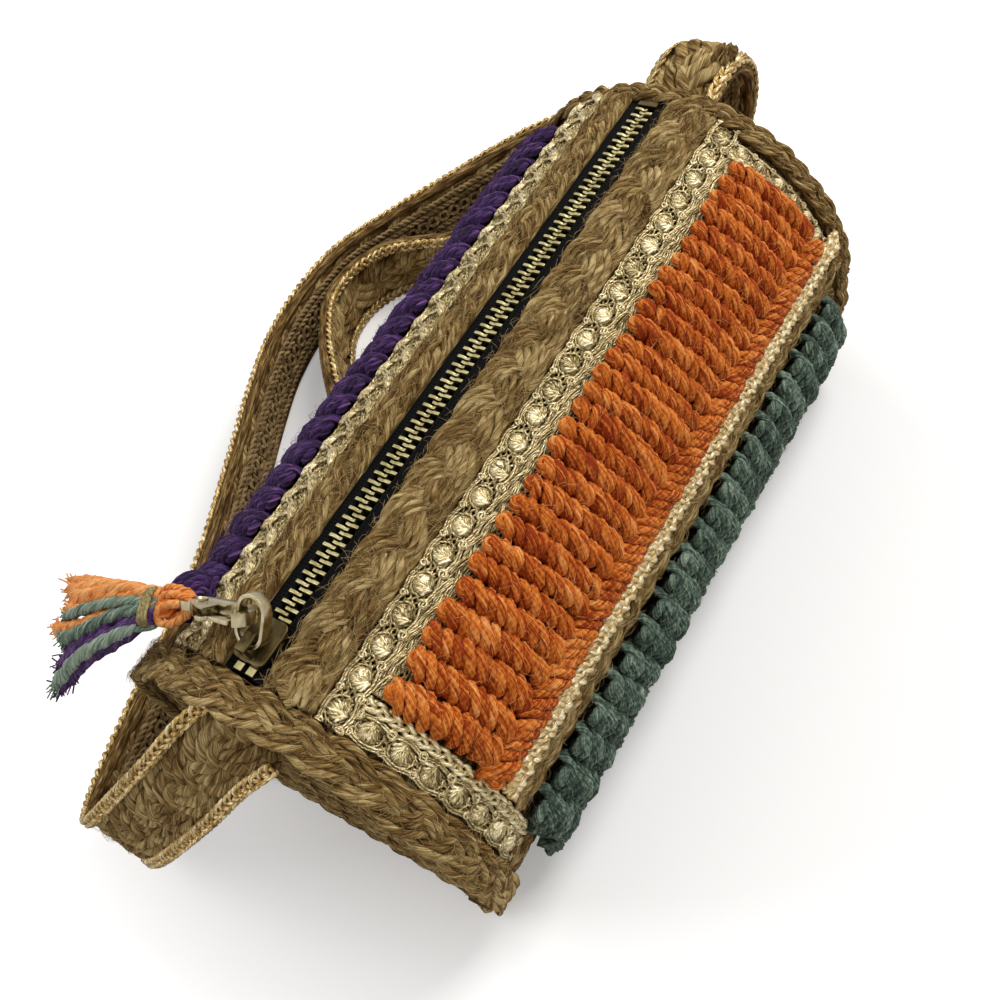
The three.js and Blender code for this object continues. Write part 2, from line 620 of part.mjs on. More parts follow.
function addTassel() {
  const frame = claspFrame();
  const eyeCentre = new THREE.Vector3(eyeDistance, 0, 0).applyMatrix4(frame);
  const turn = THREE.MathUtils.degToRad(tasselTurn);
  const fall = THREE.MathUtils.degToRad(tasselFall);
  const along = new THREE.Vector3(-Math.sin(turn) * Math.cos(fall), Math.cos(turn) * Math.cos(fall),
    -Math.sin(fall));
  const across = new THREE.Vector3(Math.cos(turn), Math.sin(turn), 0);
  const up = new THREE.Vector3().crossVectors(across, along);

  // The loop of yarn runs through the eye of the clasp and back to the binding.
  const loopUp = new THREE.Vector3().setFromMatrixColumn(frame, 2);
  loopUp.addScaledVector(along, -loopUp.dot(along)).normalize();
  const points = [];
  for (let i = 0; i < loopPoints; i += 1) {
    const a = i / loopPoints * Math.PI * 2;
    const distance = loopLength / 2 * (1 - Math.cos(a));
    points.push(eyeCentre.clone().addScaledVector(along, distance)
      .addScaledVector(loopUp, loopWidth / 2 * Math.sin(a)));
  }
  const section = new THREE.Shape();
  section.absarc(0, 0, loopRadius, 0, Math.PI * 2, false);
  const route = new THREE.CatmullRomCurve3(points, true);
  const loop = new THREE.ExtrudeGeometry(section, { steps: 2 * loopPoints, extrudePath: route, curveSegments: 4 });
  addPiece('tassel_loop', loop, materials.orange);

  const headStart = loopLength + loopRadius + seamGap;
  const headCentre = eyeCentre.clone().addScaledVector(along, headStart);
  const axes = new THREE.Matrix4().makeBasis(across, up.clone().negate(), along).setPosition(headCentre);
  const rectangle = (path, shrink, corner) => {
    const a = bindingWidth / 2 - shrink;
    const b = bindingHeight / 2 - shrink;
    path.moveTo(-a + corner, -b);
    path.lineTo(a - corner, -b);
    path.quadraticCurveTo(a, -b, a, -b + corner);
    path.lineTo(a, b - corner);
    path.quadraticCurveTo(a, b, a - corner, b);
    path.lineTo(-a + corner, b);
    path.quadraticCurveTo(-a, b, -a, b - corner);
    path.lineTo(-a, -b + corner);
    path.quadraticCurveTo(-a, -b, -a + corner, -b);
    return path;
  };
  const bandShape = rectangle(new THREE.Shape(), 0, bindingCorner);
  bandShape.holes.push(rectangle(new THREE.Path(), bindingWall, bindingCorner - bindingWall));
  const band = new THREE.ExtrudeGeometry(bandShape, { depth: bindingLength, bevelEnabled: false,
    curveSegments: 3 }).applyMatrix4(axes);
  addPiece('tassel_binding', band, materials.thread);

  // Three bundles of plied yarn fan out from the binding; each ends at its own point of the room.
  const roomAcross = bindingWidth / 2 - bindingWall - seamGap;
  const headWidth = (2 * roomAcross - 2 * seamGap) / 3;
  const headHeight = bindingHeight - 2 * bindingWall - 2 * seamGap;
  const bundles = [
    { name: 'tassel_orange', place: 1, tip: [-93, 73, 70], halfWidth: 5.5, material: materials.orange },
    { name: 'tassel_teal', place: 0, tip: [-104, 69, 69], halfWidth: 4, material: materials.teal },
    { name: 'tassel_purple', place: -1, tip: [-113, 60, 68], halfWidth: 4, material: materials.purple },
  ];
  bundles.forEach(({ name, place, tip, halfWidth, material }) => {
    const section = (centre, width, height) => ({ centre,
      across: across.clone().multiplyScalar(width / 2), up: up.clone().multiplyScalar(height / 2) });
    const sideways = place * (headWidth + seamGap);
    const headAt = (distance) => headCentre.clone().addScaledVector(across, sideways)
      .addScaledVector(along, distance);
    const bundle = yarnBundle(section(headAt(0), headWidth, headHeight),
      section(headAt(bindingLength + seamGap), headWidth, headHeight),
      section(new THREE.Vector3(...tip), halfWidth * 2, yarnTipHeight));
    addPiece(name, bundle, material);
  });
}

// Route of the strap's middle line, from the near end round the back to the far end, each point with the
// direction of its lower or front edge. Between its ends it stands on edge on the table behind the bag. Both
// ends run on into the bag and are trimmed off flush with its end panels.
const edgeLevel = strapWidth / 2;
const endStart = endFace + seamGap;
const onEdge = [0, 0, -1];
const strapRoute = [
  [[-98.6, -8.7, 85], [0, -0.96, -0.2]], [[-103.6, -2.5, 79], [0, -0.96, -0.2]],
  [[-110, 5, 73], [0, -0.94, -0.3]], [[-119.8, 17, 60], [0, -0.92, -0.38]],
  [[-129.8, 32.4, 43.5], [0, -0.9, -0.42]], [[-136, 45, 30.5], [0, -0.75, -0.66]],
  [[-137, 54, 21.5], [0, -0.55, -0.84]], [[-132.5, 62, 16], [0, -0.35, -0.94]],
  [[-124, 69, 13], [0, -0.12, -0.99]],
  ...[[-112, 74.5], [-98, 78.5], [-75, 84], [-52, 92.5], [-36, 100], [-17, 109], [4, 119],
    [24, 127], [46, 131], [70, 129.5], [92, 119], [112, 108], [132, 97], [147, 87], [155, 77],
    [150, 67.5], [136, 67], [118, 72], [101, 79], [89, 89], [83, 102], [76, 113], [63, 119.5],
    [48, 118.5], [34, 110], [22, 99], [12, 87], [8, 74], [15, 63.5], [34, 60.5], [60, 60.5], [90, 60.5],
    [110, 58], [124, 49]].map(([x, y]) => [[x, y, edgeLevel], onEdge]),
  [[131, 37, 14.5], [0, -0.1, -1]], [[134, 25, 22], [0, -0.4, -0.9]],
  [[135.3, 13.5, 34.5], [0, -0.75, -0.65]], [[135.6, 6, 47], [0, -0.9, -0.45]],
  [[135.5, 2, 57.5], [0, -0.95, -0.3]], [[134.5, -0.5, 67.5], [0, -0.98, -0.2]],
  [[132, -1.7, 75.5], [0, -1, -0.15]], [[126.5, -2.5, 81.5], [0, -1, -0.15]],
  [[119.5, -3, 84.2], [0, -1, -0.15]], [[112, -3, 83], [0, -1, -0.1]],
  [[106, -2.5, 80.3], [0, -1, -0.05]], [[99, -2, 78], [0, -1, 0]],
];

// A band along the strap: columns are its places across the strap, outRange is its thickness.
function strapBand(columns, outRange) {
  const section = [...columns.map((a) => [a, outRange[0]]), ...columns.toReversed().map((a) => [a, outRange[1]])];
  const route = new THREE.CatmullRomCurve3(strapRoute.map(([p]) => new THREE.Vector3(...p)), false);
  const spans = strapRoute.length - 1;
  const positions = [];
  const indices = [];
  const total = spans * strapSteps;
  for (let i = 0; i <= total; i += 1) {
    const span = Math.min(Math.floor(i / strapSteps), spans - 1);
    const share = i / strapSteps - span;
    const point = route.getPoint(i / total);
    point.z = Math.max(point.z, edgeLevel);
    const tangent = route.getTangent(i / total);
    const nextEdge = new THREE.Vector3(...strapRoute[span + 1][1]);
    const edge = new THREE.Vector3(...strapRoute[span][1]).lerp(nextEdge, share);
    edge.addScaledVector(tangent, -edge.dot(tangent)).normalize();
    const out = new THREE.Vector3().crossVectors(tangent, edge);
    section.forEach(([a, b]) => {
      const p = point.clone().addScaledVector(edge, a).addScaledVector(out, b);
      positions.push(p.x, p.y, p.z);
    });
  }
  const corners = section.length;
  for (let i = 0; i < total; i += 1) {
    for (let side = 0; side < corners; side += 1) {
      const a = i * corners + side;
      const b = i * corners + (side + 1) % corners;
      indices.push(a, b, b + corners, a, b + corners, a + corners);
    }
  }
  const last = total * corners;
  for (let i = 0; i < columns.length - 1; i += 1) {
    const j = corners - 1 - i;
    indices.push(i, j, j - 1, i, j - 1, i + 1);
    indices.push(last + i, last + j - 1, last + j, last + i, last + i + 1, last + j - 1);
  }
  const geometry = new THREE.BufferGeometry();
  geometry.setAttribute('position', new THREE.Float32BufferAttribute(positions, 3));
  geometry.setIndex(indices);
  const insideBag = boxAt([-endStart, endStart], [-wallRadius, wallRadius], [0, 2 * wallRadius]);
  return cut(geometry, insideBag);
}

function addStrap() {
  const half = strapWidth / 2;
  const faceOut = strapThickness / 2;
  const trimOut = [faceOut + seamGap, faceOut + seamGap + strapTrimThickness];
  const edge = [half - seamGap - strapTrimWidth, half - seamGap];
  const backHalf = strapBackWidth / 2;
  const columns = [-half, -backHalf, 0, backHalf, half];
  addPiece('strap_plait', strapBand(columns, [-faceOut, faceOut]), materials.jute);
  addPiece('strap_gold_edge_lower', strapBand(edge, trimOut), materials.gold);
  addPiece('strap_gold_edge_upper', strapBand([-edge[1], -edge[0]], trimOut), materials.gold);
  const backOut = [-faceOut - seamGap - strapBackThickness, -faceOut - seamGap];
  addPiece('strap_backing', strapBand([-backHalf, 0, backHalf], backOut), materials.cotton);
}

addBody();
addLining();
addPlaits();
addTrims();
addPanels();
addZip();
addSlider();
addPullRing();
addClasp();
addTassel();
addStrap();

export default bag;
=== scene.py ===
import json
import math

import bpy
import numpy as np
from mathutils import Matrix, Vector

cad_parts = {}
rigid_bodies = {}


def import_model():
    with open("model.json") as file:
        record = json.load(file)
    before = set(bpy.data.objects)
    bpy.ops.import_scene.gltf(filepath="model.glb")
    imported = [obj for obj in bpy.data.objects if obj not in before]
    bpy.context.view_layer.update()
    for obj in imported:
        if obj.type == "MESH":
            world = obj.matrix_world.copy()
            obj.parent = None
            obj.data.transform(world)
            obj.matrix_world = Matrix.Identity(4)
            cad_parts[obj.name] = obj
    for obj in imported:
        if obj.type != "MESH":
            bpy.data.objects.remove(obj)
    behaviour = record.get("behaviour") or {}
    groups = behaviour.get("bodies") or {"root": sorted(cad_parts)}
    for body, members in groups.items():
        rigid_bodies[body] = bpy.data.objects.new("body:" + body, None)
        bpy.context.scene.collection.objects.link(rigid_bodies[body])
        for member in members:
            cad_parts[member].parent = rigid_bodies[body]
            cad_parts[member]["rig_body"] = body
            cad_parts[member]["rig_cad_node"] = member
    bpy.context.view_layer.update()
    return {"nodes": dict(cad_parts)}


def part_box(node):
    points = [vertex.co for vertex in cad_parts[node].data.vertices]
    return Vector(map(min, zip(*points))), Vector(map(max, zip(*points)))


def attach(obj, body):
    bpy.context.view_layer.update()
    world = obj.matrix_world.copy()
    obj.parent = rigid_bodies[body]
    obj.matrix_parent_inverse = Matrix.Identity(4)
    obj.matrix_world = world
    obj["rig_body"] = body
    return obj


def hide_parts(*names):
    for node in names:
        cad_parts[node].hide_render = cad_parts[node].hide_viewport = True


# Straw barrel bag: sewn jute plaits, three panels of knotted yarn, gold lace, and a zip with a tassel.
# Lengths are millimetres until a piece is made; +X runs along the zip and the front faces -Y.
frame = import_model()
bpy.ops.object.select_all(action="DESELECT")
rng = np.random.default_rng(7)
MM = 0.001
OUTWARD = (0, 0, 1)


def colour(hex_code):
    """sRGB hex to the linear colour that the shaders take."""
    values = [int(hex_code[i:i + 2], 16) / 255 for i in (0, 2, 4)]
    linear = [v / 12.92 if v <= 0.04045 else ((v + 0.055) / 1.055) ** 2.4 for v in values]
    return (*linear, 1.0)


def add_node(tree, kind, settings=None, inputs=None):
    """Adds a node; an input is given a value, an output to link, or a node to link from its first output."""
    node = tree.nodes.new(kind)
    for key, value in (settings or {}).items():
        setattr(node, key, value)
    for key, value in (inputs or {}).items():
        if isinstance(value, bpy.types.Node):
            value = value.outputs[0]
        if isinstance(value, bpy.types.NodeSocket):
            tree.links.new(value, node.inputs[key])
        else:
            node.inputs[key].default_value = value
    return node


def blank_material(name):
    material = bpy.data.materials.new(name)
    material.use_nodes = True
    material.node_tree.nodes.clear()
    return material, material.node_tree


def finish_material(material, level, stops, height, relief, settings):
    """Closes a material: level picks its colour from stops, and relief is a strength and a depth in mm."""
    tree = material.node_tree
    base = add_node(tree, "ShaderNodeValToRGB", inputs={"Fac": level})
    for i, (place, hex_code) in enumerate(stops):
        stop = base.color_ramp.elements[i] if i < 2 else base.color_ramp.elements.new(place)
        stop.position = place
        stop.color = colour(hex_code)
    bump = add_node(tree, "ShaderNodeBump", inputs={
        "Strength": relief[0], "Distance": relief[1] * MM, "Height": height})
    shader = add_node(tree, "ShaderNodeBsdfPrincipled", inputs={
        "Base Color": base, "Normal": bump, **settings})
    add_node(tree, "ShaderNodeOutputMaterial", inputs={"Surface": shader})
    return material


# Materials
# Noise cells to a metre: patches in a yarn of about 4.5 mm, worn spots of 4 mm and lint of 1 mm.
PATCHES, WORN_SPOTS, LINT = 220.0, 240.0, 900.0
LOCK_SHARE, PATCH_SHARE, TONE_SHARE = 0.8, 0.25, 0.35
# A wave texture at scale 1 repeats after about this many metres.
WAVE_LENGTH = 0.32


def spun_material(name, stops, fibre, run, depth, settings, lock=1.0):
    """Fibres that run along a yarn: fibre is their width, run their length, depth their relief and lock the
    width of the clumps that they lie in. Patches and a yarn's tone vary the shade; the tone holds its own
    random shade and painted shade between plies."""
    material, tree = blank_material(name)
    uv = add_node(tree, "ShaderNodeUVMap", {"uv_map": "yarn"})
    fine = add_node(tree, "ShaderNodeMapping", inputs={"Vector": uv, "Scale": (1 / run, 1 / fibre, 1)})
    streak = add_node(tree, "ShaderNodeTexNoise", inputs={
        "Vector": fine, "Scale": 1.0, "Detail": 3.0, "Roughness": 0.65})
    coarse = add_node(tree, "ShaderNodeMapping", inputs={
        "Vector": uv, "Scale": (1 / (2.2 * run), 1 / lock, 1)})
    locks = add_node(tree, "ShaderNodeTexNoise", inputs={"Vector": coarse, "Scale": 1.0, "Detail": 1.0})
    both = add_node(tree, "ShaderNodeMath", {"operation": "MULTIPLY_ADD"}, {
        0: locks, 1: LOCK_SHARE, 2: streak})
    places = add_node(tree, "ShaderNodeTexCoord")
    patches = add_node(tree, "ShaderNodeTexNoise", inputs={
        "Vector": places.outputs["Object"], "Scale": PATCHES, "Detail": 2.0})
    mixed = add_node(tree, "ShaderNodeMath", {"operation": "MULTIPLY_ADD"}, {
        0: patches, 1: PATCH_SHARE, 2: both})
    tone = add_node(tree, "ShaderNodeAttribute", {"attribute_name": "tone"})
    toned = add_node(tree, "ShaderNodeMath", {"operation": "MULTIPLY_ADD"}, {
        0: tone.outputs["Fac"], 1: TONE_SHARE, 2: mixed})
    level = add_node(tree, "ShaderNodeMath", {"operation": "SUBTRACT"}, {
        0: toned, 1: (LOCK_SHARE + PATCH_SHARE + TONE_SHARE) / 2})
    return finish_material(material, level, stops, both, (1.0, depth), settings)


# Jute: dry bast fibre, lightly twisted and plaited; matt, straw brown, with paler fibres on top.
jute = spun_material("jute_plait", [(0.24, "34220a"), (0.4, "705228"), (0.54, "9a7c49"), (0.74, "d9bf86")],
                     0.3, 3.6, 0.5, {"Roughness": 0.95, "Specular IOR Level": 0.2}, lock=1.1)
# Crocheted jute yarn on the strap's back: the same fibre, more tightly spun and darker.
jute_crochet = spun_material("jute_crochet", [(0.3, "443116"), (0.5, "856a42"), (0.7, "bb9f6e")],
                             0.4, 5.0, 0.5, {"Roughness": 0.95, "Specular IOR Level": 0.25})
# Orange, teal and purple cotton yarn, two plies: soft and matt, with a fine sheen of lint.
COTTON = {"Roughness": 0.85, "Specular IOR Level": 0.25}
orange_yarn = spun_material("orange_cotton_yarn", [(0.22, "942f03"), (0.45, "e27c24"), (0.72, "ffb870")],
                            0.3, 4.0, 0.45, COTTON, lock=0.8)
teal_yarn = spun_material("teal_cotton_yarn", [(0.24, "2f3c33"), (0.48, "6e8270"), (0.76, "bac8b2")],
                          0.3, 4.0, 0.45, COTTON, lock=0.8)
purple_yarn = spun_material("purple_cotton_yarn", [(0.24, "1c0b27"), (0.48, "46285e"), (0.76, "80598f")],
                            0.3, 4.0, 0.45, COTTON, lock=0.8)
# The tassel's orange yarn is spun more loosely, and looks paler.
soft_orange_yarn = spun_material("orange_cotton_loose_yarn", [
    (0.22, "b0480c"), (0.45, "f08a3c"), (0.72, "ffc47e")], 0.3, 5.0, 0.3, COTTON, lock=0.8)
# Lurex thread: a strip of metallised film wound on cotton, champagne gold, glittering in short flecks.
gold_thread = spun_material("gold_lurex_thread", [(0.25, "5e4f2a"), (0.48, "c7b17c"), (0.72, "fff3cc")],
                            0.25, 1.5, 0.22, {"Metallic": 0.7, "Roughness": 0.32}, lock=0.5)
# The same thread with a yellower film, in the flat braids that edge the panels and the strap.
braid_thread = spun_material("yellow_gold_lurex_braid", [
    (0.25, "654a1e"), (0.48, "cdaa64"), (0.72, "fff2cc")], 0.25, 1.0, 0.25, {
        "Metallic": 0.75, "Roughness": 0.3}, lock=0.5)
# Olive metallic thread wound round the tassel.
olive_thread = spun_material("olive_metallic_thread", [(0.25, "453a18"), (0.5, "75663a"), (0.8, "b5a468")],
                             0.25, 3.0, 0.15, {"Metallic": 0.35, "Roughness": 0.5})


def cast_brass(name, stops, roughness):
    """Zinc alloy plated in antique brass: pale in worn spots, brown elsewhere."""
    material, tree = blank_material(name)
    places = add_node(tree, "ShaderNodeTexCoord")
    wear = add_node(tree, "ShaderNodeTexNoise", inputs={
        "Vector": places.outputs["Object"], "Scale": WORN_SPOTS, "Detail": 3.0})
    return finish_material(material, wear, stops, wear, (0.15, 0.03), {
        "Metallic": 1.0, "Roughness": roughness})


antique_brass = cast_brass("antique_brass_plating", [(0.3, "948662"), (0.7, "c9bd9c")], 0.24)
slider_brass = cast_brass("antique_brass_slider", [(0.35, "3a301b"), (0.65, "6b5d3e")], 0.36)
tooth_brass = cast_brass("brass_zip_teeth", [(0.3, "95885a"), (0.7, "d2c796")], 0.3)


def woven_material(name, dark, light, thread, roughness):
    """Plain weave: thread is the spacing in mm, and one wave, over and under, takes two threads."""
    material, tree = blank_material(name)
    places = add_node(tree, "ShaderNodeTexCoord")
    grain = add_node(tree, "ShaderNodeTexWave", {"bands_direction": "X"}, {
        "Vector": places.outputs["Object"], "Scale": WAVE_LENGTH / (2 * thread * MM), "Distortion": 1.5})
    lint = add_node(tree, "ShaderNodeTexNoise", inputs={
        "Vector": places.outputs["Object"], "Scale": LINT, "Detail": 3.0})
    height = add_node(tree, "ShaderNodeMath", {"operation": "MULTIPLY"}, {0: grain.outputs["Fac"], 1: lint})
    return finish_material(material, height, [(0.0, dark), (0.7, light)], height, (0.8, 0.15), {
        "Roughness": roughness, "Specular IOR Level": 0.12})


# Polyester zip tape, black, herringbone woven; cotton lining cloth, undyed brown.
tape_cloth = woven_material("black_zip_tape", "030303", "131214", 0.5, 0.95)
lining_cloth = woven_material("cotton_lining", "4c3d2c", "7d6a50", 0.6, 0.9)


# Yarns: every soft piece is laid flat in (along, across, out) and then mapped onto what carries it.
def unit(vectors):
    return vectors / np.linalg.norm(vectors, axis=-1, keepdims=True)


def square_to(vectors, axes):
    """The directions of vectors with what lies along axes taken out."""
    return unit(vectors - (vectors * axes).sum(-1, keepdims=True) * axes)


def run_along(points):
    """The distance of each point from the first, along them."""
    return np.concatenate([[0], np.cumsum(np.linalg.norm(np.diff(points, axis=0), axis=1))])


def path(*parts):
    """Points from their coordinates, each of which is an array or one number for all the points."""
    return np.stack(np.broadcast_arrays(*parts), -1)


def flattened(wave, power):
    """A wave with broader crests."""
    return np.sign(wave) * np.abs(wave) ** power


def waver(run, low, high):
    """A slow wave along a yarn, of random length and start."""
    return np.sin(run / rng.uniform(low, high) + rng.uniform(0, 6.3))


def tube(points, half_high, half_wide, ref=OUTWARD, sides=8, plies=0, groove=0.0, lay=0.0, taper=0.0,
         tone=0.5, lumps=0.0, ply_shade=0.0):
    """A yarn along points. ref is a direction never along the yarn, and half_high and half_wide are its half
    sizes along ref and across it. plies lobes of depth groove wind once in lay mm, and ply_shade is painted
    shade: how much darker it is between them. taper mm at each end are rounded, and lumps are uneven places."""
    points = np.asarray(points, float)
    tangent = unit(np.gradient(points, axis=0))
    up = square_to(np.broadcast_to(np.asarray(ref, float), points.shape), tangent)
    side = np.cross(tangent, up)
    run = run_along(points)
    angle = np.arange(sides) / sides * 2 * np.pi
    wound = 2 * np.pi * run / lay if lay else 0 * run
    ply = np.cos(plies * (angle - wound[:, None]))
    shape = 1 + groove * ply
    for _ in range(4 if lumps else 0):
        turns, speed, phase = rng.integers(0, 4), rng.uniform(0.25, 1.6), rng.uniform(0, 6.3)
        shape = shape + lumps / 2 * np.sin(turns * angle + speed * run[:, None] + phase)
    if taper:
        left = np.clip(np.minimum(run, run[-1] - run) / taper, 0.02, 1)
        shape = shape * np.sqrt(1 - (1 - left[:, None]) ** 2)
    high = np.broadcast_to(half_high, run.shape)[:, None] * shape * np.sin(angle)
    wide = np.broadcast_to(half_wide, run.shape)[:, None] * shape * np.cos(angle)
    verts = points[:, None] + high[..., None] * up[:, None] + wide[..., None] * side[:, None]
    count = len(points)
    row, col = np.meshgrid(np.arange(count - 1), np.arange(sides), indexing="ij")
    after = (col + 1) % sides
    quads = path(row * sides + col, row * sides + after, (row + 1) * sides + after, (row + 1) * sides + col)
    girth = np.pi * (np.mean(half_high) + np.mean(half_wide))
    turn = wound / (2 * np.pi) * girth
    along = rng.uniform(0, 500) + run
    uv = np.stack([path(along[r], c * girth / sides - turn[r]) for r, c in (
        (row, col), (row, col + 1), (row + 1, col + 1), (row + 1, col))], 2)
    ends = [list(range(sides))[::-1], list(range((count - 1) * sides, count * sides))]
    return {"verts": verts.reshape(-1, 3), "quads": quads.reshape(-1, 4), "uv": uv.reshape(-1, 2),
            # The tone is painted darker between the plies: painted shade in the grooves.
            "ends": ends, "tone": (tone + ply_shade * (ply - 1)).ravel()}


def signed_volume(verts, quads):
    a, b, c, d = (verts[quads[:, i]] for i in range(4))
    return (np.einsum("ij,ij->i", a, np.cross(b, c)) + np.einsum("ij,ij->i", a, np.cross(c, d))).sum()


def in_scene(name, data):
    thing = bpy.data.objects.new(name, data)
    bpy.context.scene.collection.objects.link(thing)
    return thing


def hand_over(piece, material, body, node=None):
    piece.data.materials.clear()
    piece.data.materials.append(material)
    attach(piece, body)
    if node:
        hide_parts(node)


def make_piece(name, tubes, place, material, node=None, body="bag"):
    """Joins tubes into one mesh object, placed by the place function, and hands it over."""
    verts = np.concatenate([t["verts"] for t in tubes])
    offsets = np.cumsum([0] + [len(t["verts"]) for t in tubes[:-1]])
    quads = np.concatenate([t["quads"] + o for t, o in zip(tubes, offsets)])
    uv = np.concatenate([t["uv"] for t in tubes])
    ends = [[i + int(o) for i in end] for t, o in zip(tubes, offsets) for end in t["ends"]]
    verts = place(verts) if place else verts
    verts[:, 2] = np.maximum(verts[:, 2], 0.0)
    if signed_volume(verts, quads) < 0:
        quads = quads[:, ::-1]
        uv = uv.reshape(-1, 4, 2)[:, ::-1].reshape(-1, 2)
        ends = [end[::-1] for end in ends]
    mesh = bpy.data.meshes.new(name)
    mesh.from_pydata((verts * MM).tolist(), [], quads.tolist() + ends)
    layer = mesh.uv_layers.new(name="yarn")
    flat_uv = np.zeros((len(mesh.loops), 2))
    flat_uv[:len(uv)] = uv
    layer.data.foreach_set("uv", flat_uv.ravel())
    tones = mesh.attributes.new("tone", "FLOAT", "POINT")
    tones.data.foreach_set("value", np.concatenate([t["tone"] for t in tubes]).astype(np.float32))
    mesh.polygons.foreach_set("use_smooth", [True] * len(mesh.polygons))
    hand_over(in_scene(name, mesh), material, body, node)


# Where pieces lie: the barrel's outline and its bands, as in the solids.
WALL_RADIUS, CROWN_HEIGHT, FOOT_RADIUS = 51.0, 36.0, 24.0
CROWN_RUN = WALL_RADIUS * math.pi / 2
FLANK_RUN = CROWN_HEIGHT - FOOT_RADIUS
FOOT_END = CROWN_RUN + FLANK_RUN + FOOT_RADIUS * math.pi / 2
BASE_HALF = WALL_RADIUS - FOOT_RADIUS
NEAR_X, FAR_X = -94.0, 99.7
WALL_END, RIM_END = 99.0, 119.0
END_PANEL_X, BASE_FACE = 99.3, 3.6
NEAR_RIM_X, FAR_RIM_X = -99.2, 101.8
SEAM = 0.3


def on_barrel(points):
    """(x, s, out) to the bag: s is the distance round the wall from the zip, positive to the front."""
    x, s, out = points.T
    side = np.where(s < 0, 1.0, -1.0)
    run = np.abs(s)
    crown = run / WALL_RADIUS
    foot = (run - CROWN_RUN - FLANK_RUN) / FOOT_RADIUS
    on_crown = run <= CROWN_RUN
    on_foot = run > CROWN_RUN + FLANK_RUN
    y = np.where(on_crown, (WALL_RADIUS + out) * np.sin(crown), WALL_RADIUS + out)
    z = np.where(on_crown, CROWN_HEIGHT + (WALL_RADIUS + out) * np.cos(crown), CROWN_HEIGHT + CROWN_RUN - run)
    y = np.where(on_foot, BASE_HALF + (FOOT_RADIUS + out) * np.cos(foot), y)
    z = np.where(on_foot, FOOT_RADIUS - (FOOT_RADIUS + out) * np.sin(foot), z)
    return path(x, side * y, z)


def along_x(s_centre, flip=1):
    """Pieces that run along X, with across turned into s."""
    def place(points):
        along, across, out = points.T
        return on_barrel(path(along, s_centre + flip * across, out))
    return place


def round_rim(x_centre):
    """Pieces that run round the barrel, with across turned into x."""
    def place(points):
        along, across, out = points.T
        return on_barrel(path(x_centre + across, along, out))
    return place


def turned(tubes, matrix, shift):
    """The same tubes with their flat layout turned and shifted."""
    matrix = np.asarray(matrix, float)
    for t in tubes:
        t["verts"] = t["verts"] @ matrix.T + np.asarray(shift, float)
    return tubes


def plait(start, end, width, thickness, lobe, direction=1, low=SEAM, step=0.9, sides=8, centre=0.0,
          yarns=3, tone=0.5, taper=0.0):
    """Three strands plaited flat, each of yarns side by side. lobe is the pitch of the lobes on a side."""
    yarn_play = 0.2
    run = np.arange(start, end + step / 2, step)
    half = width * 0.25
    swing = width / 2 - half
    tubes = []
    for k in range(3):
        drift = 0.35 * np.sin(run / 17.0 + 2.1 * k) + 0.2 * np.sin(run / 5.3 + k)
        phase = direction * 2 * np.pi * (run + drift) / (3 * lobe) + 2 * np.pi * k / 3
        across = swing * np.sin(phase)
        slope = np.gradient(across, run)
        square = np.sqrt(1 + slope ** 2)
        rise = -direction * np.sin(2 * phase)
        for j in range(yarns):
            off = (j - (yarns - 1) / 2) / yarns * 2 * half
            wander = off + yarn_play * waver(run, 1.6, 4.0)
            lift = yarn_play * waver(run, 1.6, 4.0)
            out = low + thickness * (0.5 + 0.24 * rise) - 0.1 * thickness * (off / half) ** 2 + 0.6 * lift
            points = path(run - wander * slope / square, centre + across + wander / square, out)
            tubes.append(tube(points, thickness * 0.235, half / yarns * 1.14, sides=sides, plies=1, lay=12.0,
                              tone=tone + 0.3 * rng.uniform(-1, 1), lumps=0.14, taper=taper))
    return tubes


def strays(count, along, across, low, high, length=6.0, tone=0.85):
    """Loose fibres that lift off a surface at low, in arcs of up to high."""
    fibre_radius = 0.045
    tubes = []
    for _ in range(count):
        a, c = rng.uniform(*along), rng.uniform(*across)
        turn = rng.normal(0, 0.9)
        size = length * rng.uniform(0.4, 1.0)
        t = np.linspace(-0.5, 0.5, 6)
        bow = rng.normal(0, 0.25) * size * t ** 2
        out = low + rng.uniform(0.0, high) * (1 - 4 * t ** 2)
        points = path(a + size * t * math.cos(turn) - bow * math.sin(turn),
                      c + size * t * math.sin(turn) + bow * math.cos(turn), out)
        shade = tone + rng.uniform(-0.2, 0.15)
        tubes.append(tube(points, fibre_radius, fibre_radius, sides=3, tone=shade))
    return tubes


# Camera, floor and light
bpy.context.scene.view_settings.view_transform = "Standard"
camera_data = bpy.data.cameras.new("camera")
camera_data.lens = 41.5
camera_data.sensor_width = 36.0
camera_data.clip_start = 0.01
camera = in_scene("camera", camera_data)
camera_right, camera_up = (0.514, -0.812, -0.276), (0.779, 0.308, 0.546)
camera_back = (-0.3585, -0.4953, 0.791)
camera.matrix_world = Matrix.Translation((-0.1258, -0.1603, 0.2948)) @ Matrix(
    (camera_right, camera_up, camera_back)).transposed().to_4x4()
bpy.context.scene.camera = camera

bpy.ops.mesh.primitive_plane_add(size=6.0, location=(0, 0, -0.0002))
floor = bpy.context.object
floor.name = "floor"
